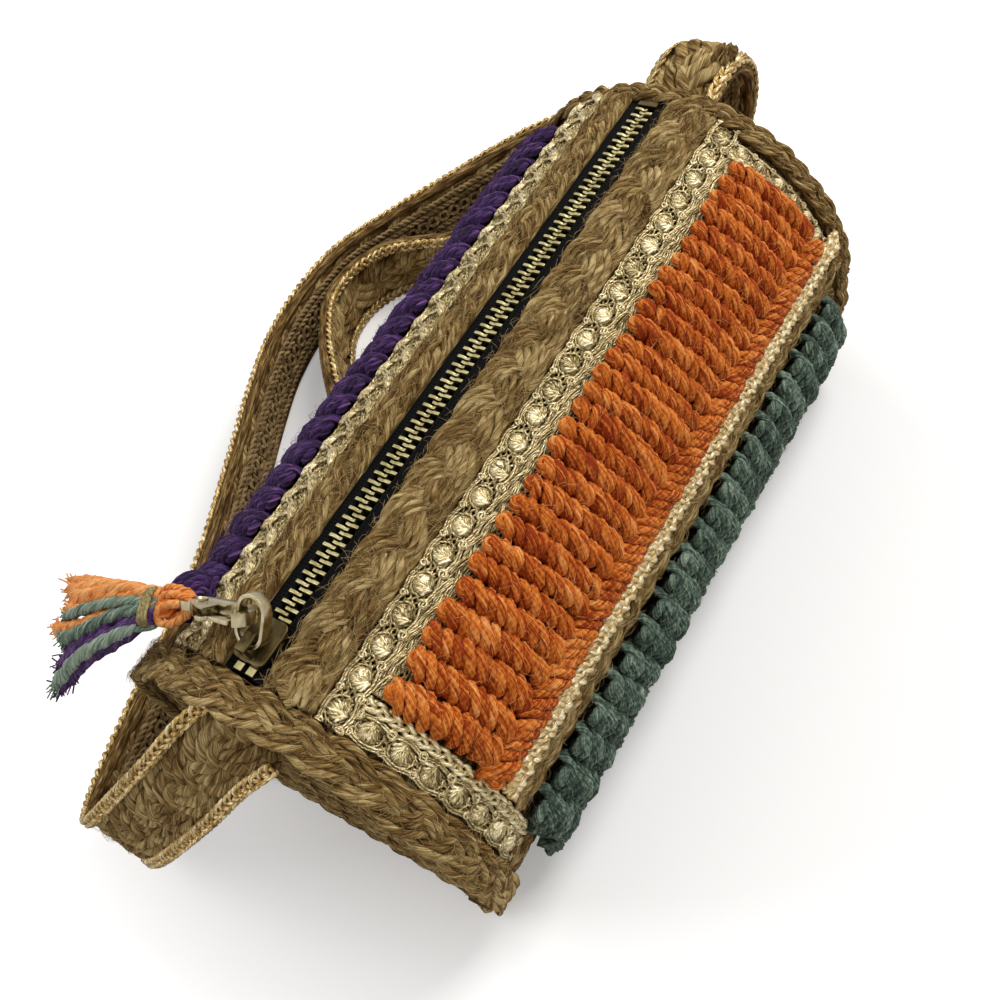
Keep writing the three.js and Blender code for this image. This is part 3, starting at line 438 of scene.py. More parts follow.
# A painted white table. The camera sees it glow, less so in an oval round the bag, where its shadow stays.
white_table, table = blank_material("white_table_top")
seen = add_node(table, "ShaderNodeLightPath")
table_paint = add_node(table, "ShaderNodeBsdfDiffuse", inputs={"Color": colour("e6e4e2")})
table_places = add_node(table, "ShaderNodeTexCoord")
oval = add_node(table, "ShaderNodeMapping", inputs={
    "Vector": table_places.outputs["Object"], "Scale": (1.0, 0.75, 1.0)})
reach = add_node(table, "ShaderNodeVectorMath", {"operation": "LENGTH"}, {0: oval})
lift = add_node(table, "ShaderNodeMapRange", inputs={
    "Value": reach.outputs["Value"], "From Min": 0.1, "From Max": 0.19, "To Min": 0.27, "To Max": 0.75})
glow = add_node(table, "ShaderNodeEmission", inputs={"Color": colour("ffffff"), "Strength": lift})
glowing = add_node(table, "ShaderNodeAddShader", inputs={0: table_paint, 1: glow})
table_mix = add_node(table, "ShaderNodeMixShader", inputs={
    "Fac": seen.outputs["Is Camera Ray"], 1: table_paint, 2: glowing})
add_node(table, "ShaderNodeOutputMaterial", inputs={"Surface": table_mix})
floor.data.materials.append(white_table)

world = bpy.data.worlds.new("soft_room")
bpy.context.scene.world = world
world.use_nodes = True
sky = world.node_tree
sky.nodes.clear()
sky_path = add_node(sky, "ShaderNodeLightPath")
seen_sky = add_node(sky, "ShaderNodeMath", {"operation": "MAXIMUM"}, {
    0: sky_path.outputs["Is Camera Ray"], 1: sky_path.outputs["Is Glossy Ray"]})
strength = add_node(sky, "ShaderNodeMapRange", inputs={"Value": seen_sky, "To Min": 0.42, "To Max": 1.0})
room = add_node(sky, "ShaderNodeBackground", inputs={"Color": colour("ffffff"), "Strength": strength})
add_node(sky, "ShaderNodeOutputWorld", inputs={"Surface": room})


def softbox(name, place, size, watts):
    """A square lamp that points at the middle of the bag."""
    lamp_data = bpy.data.lights.new(name, "AREA")
    lamp_data.size = size
    lamp_data.energy = watts
    away = Vector(place) - Vector((0, 0, 0.04))
    in_scene(name, lamp_data).matrix_world = Matrix.Translation(place) @ away.to_track_quat(
        "Z", "Y").to_matrix().to_4x4()


softbox("window", (0.68, -0.28, 0.88), 0.5, 8.6)
softbox("fill", (-0.5, 0.75, 0.9), 0.8, 3.2)

# Jute plaits. The front panels run between PANEL_X, and a band's two numbers are its edges, as distances
# round the wall from the zip.
PANEL_X = (-83.0, 90.3)
ORANGE = (30.0, 65.0)
TEAL = (78.9, 106.9)
PURPLE = (-25.6, -59.3)


def sewn_plait(node, place, ends, fuzz, ground=None, **shape):
    """A plait with its loose fibres. fuzz is what strays takes, and ground is the place and half width of the
    flat jute that shows on each side between its lobes."""
    tubes = plait(*ends, **shape)
    if ground:
        run = np.linspace(*ends, 60)
        tubes += [tube(path(run, side * ground[0], SEAM + 0.9), 0.9, ground[1], sides=10, tone=0.45)
                  for side in (-1, 1)]
    make_piece(node + "_jute", tubes + strays(*fuzz), place, jute, node)


RIM_ARC, RIM_FUZZ = (-85.0, 85.0), (-84.0, 84.0)
MOUTH = (NEAR_X, FAR_X)
sewn_plait("front_mouth_plait", along_x(12.55), MOUTH, (1900, MOUTH, (-6.8, 6.8), 3.2, 1.3), (4.5, 2.3),
           width=13.7, thickness=3.6, lobe=10.8, direction=-1, yarns=4)
sewn_plait("back_mouth_plait", along_x(-10.6, -1), MOUTH, (900, MOUTH, (-4.8, 4.8), 3.2, 1.3), (3.1, 1.7),
           width=9.8, thickness=3.6, lobe=9.6)
sewn_plait("near_rim_plait", round_rim(-99.65), RIM_ARC, (650, RIM_FUZZ, (-5.2, 5.2), 3.2, 1.4),
           width=10.7, thickness=3.6, lobe=10.4, tone=0.6)
sewn_plait("far_rim_plait", round_rim(101.9), RIM_ARC, (400, RIM_FUZZ, (-2.5, 2.5), 2.3, 1.2),
           width=6.8, thickness=3.0, lobe=6.6)
LOWER = (PANEL_X[0], FAR_X)
sewn_plait("front_lower_plait", along_x(73.6), LOWER, (500, LOWER, (-4.5, 4.5), 2.4, 1.2),
           width=10.0, thickness=2.6, lobe=8.0, direction=-1)


def plait_rows(ends, across, count, low, thickness=3.2, step=1.5):
    """Plaits sewn side by side, each running the other way from the last."""
    overlap, lobe = 0.5, 8.0
    tubes = []
    width = (across[1] - across[0]) / count
    for i in range(count):
        tubes += plait(*ends, width + overlap, thickness, lobe, direction=1 - 2 * (i % 2), low=low, step=step,
                       sides=6, centre=across[0] + (i + 0.5) * width)
    return tubes


def wall_ground():
    """Flat jute under the trims and panels, where the plaits are covered. Its darker tone is painted shade
    under them.
    """
    start, strip = 8.0, 7.0
    run = np.linspace(-WALL_END - 3.0, WALL_END + 3.0, 40)
    count = round((FOOT_END - start) / strip)
    centres = start + (np.arange(count) + 0.5) * (FOOT_END - start) / count
    return [tube(path(run, centre, -1.5), 1.2, 4.2, sides=10, tone=0.1) for centre in centres]


def rim_ends(side):
    """The rims from the end of their plaits round the foot, and the flat cord that each rim is sewn on."""
    sideways = [[0, -1, 0], [1, 0, 0], [0, 0, 1]]
    near = plait(84.0, RIM_END, 10.0, 3.0, 10.4, direction=side, low=-0.2, tone=0.6, taper=3.0)
    far = plait(84.0, RIM_END, 6.2, 2.6, 6.6, direction=side, low=-0.2, taper=3.0)
    # The cords under the rims are toned darker: painted shade beneath the rim plaits.
    under = path(np.linspace(0.0, RIM_END + 3.0, 50), 0, -0.4)
    near.append(tube(under, 1.2, 4.4, sides=10, tone=0.1, taper=2.0))
    far.append(tube(under, 1.2, 2.6, sides=10, tone=0.1, taper=2.0))
    return turned(near, sideways, (NEAR_RIM_X, 0, 0)) + turned(far, sideways, (FAR_RIM_X, 0, 0))


WHOLE = (-WALL_END, WALL_END)
front_rows = plait_rows(WHOLE, (104.0, FOOT_END), 3, -2.4)
front_rows += plait_rows((-WALL_END, PANEL_X[0] - 0.5), (20.0, 104.0), 9, -2.8)
front_rows += plait_rows(WHOLE, (6.0, 20.0), 1, -3.2, thickness=3.0)
front_rows += plait_rows((PANEL_X[1] - 2.0, WALL_END), (20.0, 104.0), 9, -2.8)
front_rows += wall_ground() + rim_ends(1)
make_piece("front_wall_plaits", front_rows, on_barrel, jute, "front_wall")
back_rows = plait_rows(WHOLE, (56.0, FOOT_END), 8, -2.4)
back_rows += plait_rows(WHOLE, (6.0, 22.0), 1, -3.2, thickness=3.0)
back_rows += plait_rows((-WALL_END, -78.0), (22.0, 56.0), 4, -2.6)
back_rows += plait_rows((88.0, WALL_END), (22.0, 56.0), 4, -2.6)
back_rows += wall_ground() + rim_ends(-1)
make_piece("back_wall_plaits", back_rows, along_x(0.0, -1), jute, "back_wall")


def end_outline_half(z):
    """Half width of the barrel's end at height z."""
    if z < FOOT_RADIUS:
        return BASE_HALF + math.sqrt(max(0.0, FOOT_RADIUS ** 2 - (FOOT_RADIUS - z) ** 2))
    if z < CROWN_HEIGHT:
        return WALL_RADIUS
    return math.sqrt(max(0.0, WALL_RADIUS ** 2 - (z - CROWN_HEIGHT) ** 2))


def end_panel(side_name, sign):
    """Rows of plaits on flat jute, and a plait bent round the arc that closes their ragged ends."""
    tubes = []
    rows, top, trimmed = 9, 85.0, 0.8
    width = top / rows
    for i in range(rows):
        middle = (i + 0.5) * width
        half = min(end_outline_half(middle), end_outline_half(middle + width * 0.35)) - trimmed
        tubes += plait(-half, half, width + 0.6, 3.4, 8.4, direction=1 - 2 * (i % 2), low=0.2, step=1.4,
                       sides=6, centre=middle, taper=2.0)
        tubes.append(tube(path(np.linspace(-half, half, 24), middle, 0.9), 1.1, width * 0.6, sides=10,
                          tone=0.4, taper=2.0))
    edging = plait(-92.0, 92.0, 6.4, 2.4, 6.0, low=0.5, step=1.6, sides=6, yarns=2, tone=0.4)
    for t in edging:
        along, across, out = t["verts"].T
        turn, radius = along / WALL_RADIUS, WALL_RADIUS - 3.2 + across
        t["verts"] = path(radius * np.sin(turn), CROWN_HEIGHT + radius * np.cos(turn), out)

    def place(points):
        along, across, out = points.T
        return path(sign * (END_PANEL_X + out), along, across)
    make_piece(f"{side_name}_end_plaits", tubes + edging, place, jute, f"{side_name}_end_panel")


end_panel("near", -1)
end_panel("far", 1)


def on_base(points):
    along, across, out = points.T
    return path(along, across, BASE_FACE - out)


base_rows = plait_rows(WHOLE, (-BASE_HALF - 1.0, BASE_HALF + 1.0), 6, 0.2, step=2.6)
make_piece("base_plaits", base_rows, on_base, jute, "base_panel")


# Knotted panels
def rib(length, half_width, height, pitch, thick, lean):
    """A rib of hitches: yarn wound over a core, in (axis, side, out). Its ends are rounded like loops."""
    # The core is toned darker than the hitches: painted shade where it shows between them.
    core = path(np.linspace(thick * 0.6, length - thick * 0.6, 8), 0, SEAM + height * 0.42)
    tubes = [tube(core, height * 0.4, half_width * 0.82, taper=height * 0.5, tone=-0.2)]
    bend = np.linspace(0, np.pi, 13)
    eye_loop = path(3.0 - 3.6 * np.sin(bend) ** 0.8,
                    -0.33 * half_width * np.cos(bend) * (1 + 0.3 * np.sin(bend)),
                    SEAM + height * (0.34 + 0.3 * np.sin(bend) ** 0.5))
    tubes.append(tube(eye_loop, thick * 0.46, thick * 0.5, sides=10, plies=3, groove=0.14, lay=6.5,
                      tone=0.5 + rng.uniform(-0.1, 0.2), ply_shade=0.35))
    count = max(2, round(length / pitch))
    for i in range(count):
        at = (i + 0.5) / count * length
        dome = math.sqrt(1 - (1 - min(at / (height * 0.5), (length - at) / (height * 0.5), 1)) ** 2)
        w = (half_width - thick * 0.42) * (0.5 + 0.5 * dome) * rng.uniform(0.93, 1.07)
        h = (height - thick) * (0.6 + 0.4 * dome) * rng.uniform(0.9, 1.06)
        slant = lean + rng.normal(0, 0.12)
        turn = np.radians(np.linspace(-4, 184, 13))
        rise = flattened(np.sin(turn), 0.7)
        along = np.clip(at + slant * np.cos(turn) * half_width, 0.6 - 1.2 * (1 - rise), length - 0.6)
        along += 0.2 * rise * rng.normal(0, 1)
        hitch = path(along, -w * np.cos(turn), SEAM + thick * 0.5 + h * rise)
        radius = thick * 0.5 * rng.uniform(0.88, 1.12)
        lay, tone = rng.uniform(8.0, 11.0), 0.5 + rng.uniform(-0.25, 0.25)
        tubes.append(tube(hitch, radius, radius, (1, 0.3, 0.1), sides=10, plies=3, groove=0.14, lay=lay,
                          tone=tone, lumps=0.08, ply_shade=0.4))
    return tubes


def knotted_panel(name, yarn, fuzz, x_range, s_range, rib_width, row_height, fullness, slope, height, pitch,
                  thick, lean):
    """Ribs across the panel, fatter towards the near end, each with a loop at its top, and one row of hitches
    along the bottom."""
    tubes = []
    span = x_range[1] - x_range[0]
    count = round(span / rib_width)
    shares = 1 + 0.3 * np.exp(-np.arange(count) / 3.0) + rng.normal(0, 0.05, count)
    widths = shares / shares.sum() * span
    starts = x_range[0] + np.cumsum(widths) - widths
    sign = 1 if s_range[1] > s_range[0] else -1
    length = abs(s_range[1] - s_range[0]) - row_height
    for width, left in zip(widths, starts):
        start = rng.uniform(0.0, 0.9)
        half = width * fullness * rng.uniform(0.95, 1.04)
        one = rib(length - start + 0.8, half, height * rng.uniform(0.9, 1.04), pitch, thick, lean)
        leaning = slope + rng.normal(0, 0.035)
        shift = (left + 0.5 * width - leaning * length / 2, s_range[0] + sign * start, 0)
        tubes += turned(one, [[leaning, 1, 0], [sign, 0, 0], [0, 0, 1]], shift)
    bottom = rib(span, row_height * 0.56, height * 0.9, pitch * 1.05, thick * 1.12, lean * 1.2)
    tubes += turned(bottom, [[1, 0, 0], [0, -sign, 0], [0, 0, 1]],
                    (x_range[0], s_range[1] - sign * row_height * 0.5, 0))
    make_piece(name + "_panel_knots", tubes + strays(*fuzz), on_barrel, yarn, name + "_panel")


knotted_panel("orange", orange_yarn, (350, PANEL_X, (30.5, 64.0), 5.4, 1.6, 5.0, 0.9), PANEL_X, ORANGE,
              rib_width=5.95, row_height=8.4, fullness=0.56, slope=0.08,
              height=6.2, pitch=2.65, thick=2.4, lean=0.5)
knotted_panel("teal", teal_yarn, (260, (-82.0, 89.0), (79.5, 105.0), 6.4, 1.6, 5.0, 0.8), (-83.0, 90.0), TEAL,
              rib_width=8.0, row_height=8.0, fullness=0.65, slope=0.3,
              height=8.2, pitch=2.95, thick=2.65, lean=0.5)
knotted_panel("purple", purple_yarn, (500, (-80.0, 89.0), (-58.0, -26.0), 5.4, 2.2, 5.0, 1.0), (-80.0, 90.0),
              PURPLE, rib_width=7.4, row_height=6.0, fullness=0.64, slope=0.15,
              height=6.2, pitch=2.15, thick=2.2, lean=0.4)

# The panel's last yarn is wound into a knob at its near end.
knob = []
knob_place, knob_size = np.array([-82.5, -28.8, 4.9]), 5.7
around = np.linspace(0, 2 * np.pi, 20)
for ring_turn in np.linspace(-1.25, 1.25, 9):
    ring_size = knob_size * math.cos(ring_turn)
    ring = knob_place + path(ring_size * np.cos(around), knob_size * math.sin(ring_turn),
                             ring_size * 0.88 * np.sin(around))
    knob.append(tube(ring, 0.95, 0.95, (0, 1, 0), plies=3, groove=0.12, lay=6.0, tone=rng.uniform(0.3, 0.8),
                     ply_shade=0.3))
# A core inside the rings, toned darker: painted shade between them.
knob_core = knob_place + path(0, np.linspace(-5.0, 5.0, 9), 0)
knob.append(tube(knob_core, 5.0, 5.2, sides=14, taper=4.9, tone=0.2))
knob += strays(60, (-90.0, -79.0), (-36.0, -26.0), 7.2, 2.0, 5.0, 1.0)
make_piece("purple_knob_yarn", knob, on_barrel, purple_yarn)


# Lace and braids of gold thread
def thread(points, radius, tone=0.6, sides=6):
    return tube(points, radius, radius, sides=sides, plies=2, groove=0.2, lay=radius * 9, tone=tone,
                ply_shade=0.3)


def filigree(start, end, half, low, rows=7):
    """Wavy threads side by side, the open ground that the medallions are worked on."""
    run = np.arange(start, end + 0.3, 0.55)
    tubes = []
    for i in range(rows):
        centre = half * (2 * (i + 0.5) / rows - 1)
        swing = 0.62 * half / rows * np.sin(2 * np.pi * run / 2.1 + np.pi * (i % 2))
        rise = 0.2 * np.sin(2 * np.pi * run / 2.1 + i)
        tubes.append(thread(path(run, centre + swing, low + 0.45 + rise), 0.4, tone=0.45, sides=5))
    return tubes


def lace(start, end, width=7.0):
    """Fan medallions inside scalloped double cords, and between them a ring on one edge, a scroll on the
    other."""
    count = round((end - start) / 8.4)
    pitch = (end - start) / count
    half = width / 2
    run = np.arange(start, end + 0.3, 0.5)
    wave = np.cos(2 * np.pi * (run - start) / pitch)
    tubes = filigree(start, end, half - 0.5, SEAM)
    for sign in (-1, 1):
        for inset, lift in ((0.1, 1.0), (0.7, 1.3)):
            across = sign * (half - inset - 0.7 * (0.5 + 0.5 * wave))
            tubes.append(thread(path(run, across, SEAM + lift + 0.15 * wave), 0.3, tone=0.7))
    for i in range(count + 1):
        at = start + i * pitch
        for sign, size, turns in ((-1, 0.95, 380), (1, 1.25, 640)):
            turn = np.radians(np.linspace(0, turns, 17))
            radius = size * (1 - 0.5 * turn / turn[-1])
            curl = path(at + radius * np.sin(turn), sign * (half - 1.3 - radius * np.cos(turn)),
                        SEAM + 1.3 + 0.5 * turn / turn[-1])
            tubes.append(thread(np.clip(curl, (start, -50, 0), (end, 50, 50)), 0.3, tone=0.8))
    for i in range(count):
        at = start + (i + 0.5) * pitch
        place = np.linspace(-1, 1, 9)
        dome = np.sqrt(np.clip(1 - place ** 2, 0.02, 1))
        boss = path(at + 2.6 * place, 0, SEAM + 0.6)
        tubes.append(tube(boss, 1.35 * dome, 2.5 * dome, sides=10, tone=0.75))
        tilt = rng.normal(0, 0.16)
        size = rng.uniform(0.92, 1.06)
        hem_turn = np.radians(np.linspace(-125, 125, 18)) + tilt
        hem = path(at + 3.2 * size * np.sin(hem_turn), -2.8 * size * np.cos(hem_turn),
                   SEAM + 0.9 + 0.2 * np.cos(hem_turn * 9))
        tubes.append(thread(hem, 0.3))
        # Each medallion's rays are painted lighter or darker at random, a painted glint, and lighter on one
        # side than the other, painted highlight and shade.
        painted_glint = rng.uniform(-0.35, 0.25)
        for k in range(8):
            fan = np.radians(-63 + 18 * k)
            t = np.linspace(0, 1, 6)
            reach = (4.7 - 1.2 * abs(math.sin(fan))) * size
            ray = path(at - 0.2 + reach * t * np.sin(fan + tilt) * 0.8, 2.2 - reach * t * np.cos(fan + tilt),
                       SEAM + 1.0 + 0.75 * np.sin(np.pi * np.clip(t, 0.08, 0.95)) ** 0.7)
            ray[1:-1] += rng.normal(0, 0.13, (4, 3))
            tubes.append(thread(ray, 0.4, tone=0.8 + painted_glint - 0.5 * math.sin(fan) + rng.uniform(-0.25, 0.25)))
    return tubes


def gimp(start, end, width, low):
    """Leaves of gold thread that lie over one another from either edge, with a cord waving between them."""
    pitch = 8.5
    half = width / 2
    tubes = filigree(start, end, half - 0.3, low, rows=9)
    for i in range(round((end - start) / pitch * 2)):
        at = start + (i + 0.5) * pitch / 2
        sign = 1 - 2 * (i % 2)
        # Each leaf is painted lighter or darker at random, a painted glint, and its threads darker towards
        # one side, painted shade.
        painted_glint = rng.uniform(-0.25, 0.25)
        for k in range(7):
            spread = (k - 3) / 3
            t = np.linspace(0, 1, 8)
            arch = np.sin(np.pi * t)
            leaf = path(np.clip(at - 2.6 + 5.6 * t, start, end),
                        sign * (half - 0.5 - 3.4 * t + 1.5 * spread * arch),
                        low + 1.0 + (0.9 - 0.5 * spread ** 2) * arch)
            tubes.append(thread(leaf, 0.42, tone=0.75 + painted_glint - 0.25 * spread, sides=5))
    run = np.arange(start, end + 0.3, 0.5)
    for offset in (-0.45, 0.45):
        wave = np.sin(2 * np.pi * (run - start) / pitch + offset * 0.5)
        tubes.append(thread(path(run, wave * half * 0.55 + offset, low + 1.5 + 0.2 * wave), 0.42, tone=0.7))
    for sign in (-1, 1):
        tubes.append(thread(path(run, sign * (half - 0.3), low + 0.8), 0.4))
    return tubes


def gold_plait(start, end, width, height, lobe, strands=3, low=SEAM, tone=0.7, centre=0.0, lay=5.0, fat=0.19,
               step=0.5, taper=0.0):
    run = np.arange(start, end, step)
    tubes = []
    for k in range(strands):
        phase = 2 * np.pi * run / (strands * lobe) + 2 * np.pi * k / strands
        across = centre + (width / 2 - 0.5) * np.sin(phase)
        out = low + height * 0.5 - height * 0.2 * np.sin((strands - 1) * phase)
        tubes.append(tube(path(run, across, out), height * 0.32, width * fat, plies=2, groove=0.2, lay=lay,
                          tone=tone + rng.uniform(-0.2, 0.2), ply_shade=0.4, taper=taper))
    return tubes


def long_cord(start, end, width):
    """Strands of smooth gold threads side by side, plaited so loosely that they run almost along the cord."""
    strands, threads, lobe = 3, 4, 6.5
    run = np.arange(start, end, 0.8)
    tubes = []
    for k in range(strands):
        phase = 2 * np.pi * run / (strands * lobe) + 2 * np.pi * k / strands
        across = (width / 2 - 0.9) * np.sin(phase)
        out = SEAM + 1.2 - 0.45 * np.sin((strands - 1) * phase)
        for j in range(threads):
            off = (j - (threads - 1) / 2) * 0.52
            points = path(run, across + off + 0.12 * waver(run, 1.2, 2.5), out - 0.5 * off ** 2)
            tubes.append(tube(points, 0.36, 0.26, sides=6, plies=2, groove=0.2, lay=4.0,
                              tone=rng.uniform(0.1, 0.9), ply_shade=0.35))
    return tubes


UNTURNED = np.eye(3)
make_piece("lace_top_medallions", lace(*MOUTH, 7.6), along_x(23.1), gold_thread, "lace_top")
lace_cord = long_cord(*PANEL_X, 4.0)
lace_cord += turned(filigree(*PANEL_X, 1.6, SEAM, rows=4), UNTURNED, (0, 2.6, 0.1))
make_piece("lace_cord_plait", lace_cord, along_x(28.3), gold_thread, "lace_cord")
near_lace = turned(lace(27.0, 85.0), UNTURNED, (0, -1.7, 0)) + turned(
    gold_plait(27.0, 85.0, 3.4, 2.3, 3.4, tone=1.1), UNTURNED, (0, 3.4, 0))
make_piece("lace_near_medallions", near_lace, round_rim(-88.65), gold_thread, "lace_near_end")
SMALL = 0.7
far_lace = turned(lace(27.0 / SMALL, 65.0 / SMALL), np.diag([SMALL, SMALL, 0.9]), (0, -0.9, 0)) + turned(
    gold_plait(27.0, 65.0, 2.0, 1.8, 3.4, tone=1.0), UNTURNED, (0, -3.9, 0))
make_piece("lace_far_medallions", far_lace, round_rim(95.15), gold_thread, "lace_far_end")
# This braid is toned lighter than the others: painted light on a braid that faces away from the lamps.
front_braid = gold_plait(*LOWER, 5.0, 2.4, 3.6, strands=5, low=1.8, lay=4.0, tone=1.0)
make_piece("gold_braid_front_plait", front_braid, along_x(67.3), braid_thread, "gold_braid_front")
make_piece("lace_back_gimp", gimp(*MOUTH, 9.8, 1.5), along_x(-20.3, -1), gold_thread, "lace_back")
back_braid = gold_plait(-80.0, 90.0, 3.4, 1.8, 1.5, strands=5, lay=2.5)
make_piece("gold_braid_back_plait", back_braid, along_x(-61.1), braid_thread, "gold_braid_back")


# Zip
def round_edges(piece, width, segments, limit=30):
    """Rounds the active piece's edges that turn by more than limit degrees."""
    rounding = piece.modifiers.new("rounding", "BEVEL")
    rounding.width = width
    rounding.segments = segments
    rounding.limit_method = "ANGLE"
    rounding.angle_limit = math.radians(limit)
    bpy.ops.object.modifier_apply(modifier="rounding")


def take_over(node, name, material, bevel, body):
    """A CAD node's own shape with its edges rounded, as cloth or cast metal has them."""
    piece = frame["nodes"][node].copy()
    piece.data = frame["nodes"][node].data.copy()
    piece.name = name
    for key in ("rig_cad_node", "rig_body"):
        if key in piece:
            del piece[key]
    bpy.context.scene.collection.objects.link(piece)
    bpy.ops.object.select_all(action="DESELECT")
    piece.select_set(True)
    bpy.context.view_layer.objects.active = piece
    bpy.ops.object.mode_set(mode="EDIT")
    bpy.ops.mesh.select_all(action="SELECT")
    bpy.ops.mesh.remove_doubles(threshold=0.00001)
    bpy.ops.mesh.dissolve_limited(angle_limit=math.radians(2))
    bpy.ops.object.mode_set(mode="OBJECT")
    round_edges(piece, bevel * MM, 3, limit=40)
    bpy.ops.object.shade_smooth_by_angle(angle=math.radians(45))
    hand_over(piece, material, body, node)


take_over("zip_tape_front", "zip_tape_front_cloth", tape_cloth, 0.15, "bag")
take_over("zip_tape_back", "zip_tape_back_cloth", tape_cloth, 0.15, "bag")
take_over("lining", "lining_cloth", lining_cloth, 0.1, "bag")
take_over("slider_upper_plate", "slider_upper_cast", slider_brass, 0.25, "slider")
take_over("slider_lower_plate", "slider_lower_cast", slider_brass, 0.2, "slider")
take_over("pull_ring", "pull_ring_band", antique_brass, 0.2, "ring")
take_over("clasp_body", "clasp_body_cast", antique_brass, 0.9, "clasp")
take_over("clasp_trigger", "clasp_trigger_pressed", antique_brass, 0.2, "trigger")
for plain, finish in (
        ("clasp_pin", antique_brass), ("trigger_spring", antique_brass), ("top_stop_front", tooth_brass),
        ("top_stop_back", tooth_brass), ("bottom_stop", slider_brass)):
    frame["nodes"][plain].data.materials.clear()
    frame["nodes"][plain].data.materials.append(finish)

TEETH, TOOTH_PITCH, FIRST_TOOTH = 69, 2.7, -89.65
TOOTH_SIZE, TOOTH_Y, TAPE_CORD_Y = (0.88, 3.5, 2.1), 1.2, 3.1


def zip_teeth(row, sign, first):
    """Separate cast teeth on a black corded edge, each with its dimple and rounded end."""
    low, high = (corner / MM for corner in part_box(row))
    middle_z = (low.z + high.z) / 2
    bpy.ops.mesh.primitive_cube_add(size=1.0)
    tooth = bpy.context.object
    tooth.scale = TOOTH_SIZE
    bpy.ops.object.transform_apply(location=False, rotation=False, scale=True)
    bpy.ops.object.mode_set(mode="EDIT")
    bpy.ops.mesh.select_all(action="SELECT")
    bpy.ops.mesh.subdivide(number_cuts=3)
    bpy.ops.object.mode_set(mode="OBJECT")
    # Its inner end is narrowed and drawn out, with a dimple behind the tip.
    for corner in tooth.data.vertices:
        inward = -sign * corner.co.y
        at_end, at_tip, on_top = inward > 0.5, inward > 1.5, corner.co.z > 0.9
        if at_end:
            corner.co.x *= 0.85 if at_tip else 0.95
        if at_tip:
            corner.co.y -= sign * 0.35
        if at_end and on_top:
            corner.co.z -= 0.1 if at_tip else 0.4
    bpy.ops.object.mode_set(mode="EDIT")
    bpy.ops.mesh.dissolve_limited(angle_limit=math.radians(2))
    bpy.ops.object.mode_set(mode="OBJECT")
    round_edges(tooth, 0.13, 2)
    repeat = tooth.modifiers.new("row", "ARRAY")
    repeat.use_relative_offset = False
    repeat.use_constant_offset = True
    repeat.constant_offset_displace = (TOOTH_PITCH, 0, 0)
    repeat.count = TEETH
    bpy.ops.object.modifier_apply(modifier="row")
    tooth.data.transform(Matrix.Scale(MM, 4) @ Matrix.Translation((first, sign * TOOTH_Y, middle_z)))
    bpy.ops.object.shade_smooth_by_angle(angle=math.radians(40))
    tooth.name = row + "_cast"
    hand_over(tooth, tooth_brass, "bag", row)
    cord = path(np.arange(NEAR_X, FAR_X, 1.0), sign * TAPE_CORD_Y, middle_z - 0.25)
    make_piece(row + "_corded_edge", [tube(cord, 0.75, 0.7, tone=0.2)], None, tape_cloth)


zip_teeth("zip_teeth_front", -1, FIRST_TOOTH)
zip_teeth("zip_teeth_back", 1, FIRST_TOOTH + TOOTH_PITCH / 2)

# Strap: the same route and edge directions as the solid's. Most of it lies on edge on the table.
EDGE_LEVEL = 12.0
ON_EDGE = (0.0, 0.0, -1.0)
STRAP_ROUTE = [
    ((-98.6, -8.7, 85), (0, -0.96, -0.2)), ((-103.6, -2.5, 79), (0, -0.96, -0.2)),
    ((-110, 5, 73), (0, -0.94, -0.3)), ((-119.8, 17, 60), (0, -0.92, -0.38)),
    ((-129.8, 32.4, 43.5), (0, -0.9, -0.42)), ((-136, 45, 30.5), (0, -0.75, -0.66)),
    ((-137, 54, 21.5), (0, -0.55, -0.84)), ((-132.5, 62, 16), (0, -0.35, -0.94)),
    ((-124, 69, 13), (0, -0.12, -0.99))]
STRAP_ROUTE += [((x, y, EDGE_LEVEL), ON_EDGE) for x, y in [
    (-112, 74.5), (-98, 78.5), (-75, 84), (-52, 92.5), (-36, 100), (-17, 109), (4, 119),
    (24, 127), (46, 131), (70, 129.5), (92, 119), (112, 108), (132, 97), (147, 87), (155, 77),
    (150, 67.5), (136, 67), (118, 72), (101, 79), (89, 89), (83, 102), (76, 113), (63, 119.5),
    (48, 118.5), (34, 110), (22, 99), (12, 87), (8, 74), (15, 63.5), (34, 60.5), (60, 60.5), (90, 60.5),
    (110, 58), (124, 49)]]
STRAP_ROUTE += [
    ((131, 37, 14.5), (0, -0.1, -1)), ((134, 25, 22), (0, -0.4, -0.9)),
    ((135.3, 13.5, 34.5), (0, -0.75, -0.65)), ((135.6, 6, 47), (0, -0.9, -0.45)),
    ((135.5, 2, 57.5), (0, -0.95, -0.3)), ((134.5, -0.5, 67.5), (0, -0.98, -0.2)),
    ((132, -1.7, 75.5), (0, -1, -0.15)), ((126.5, -2.5, 81.5), (0, -1, -0.15)),
    ((119.5, -3, 84.2), (0, -1, -0.15)), ((112, -3, 83), (0, -1, -0.1)),
    ((106, -2.5, 80.3), (0, -1, -0.05)), ((99, -2, 78), (0, -1, 0))]


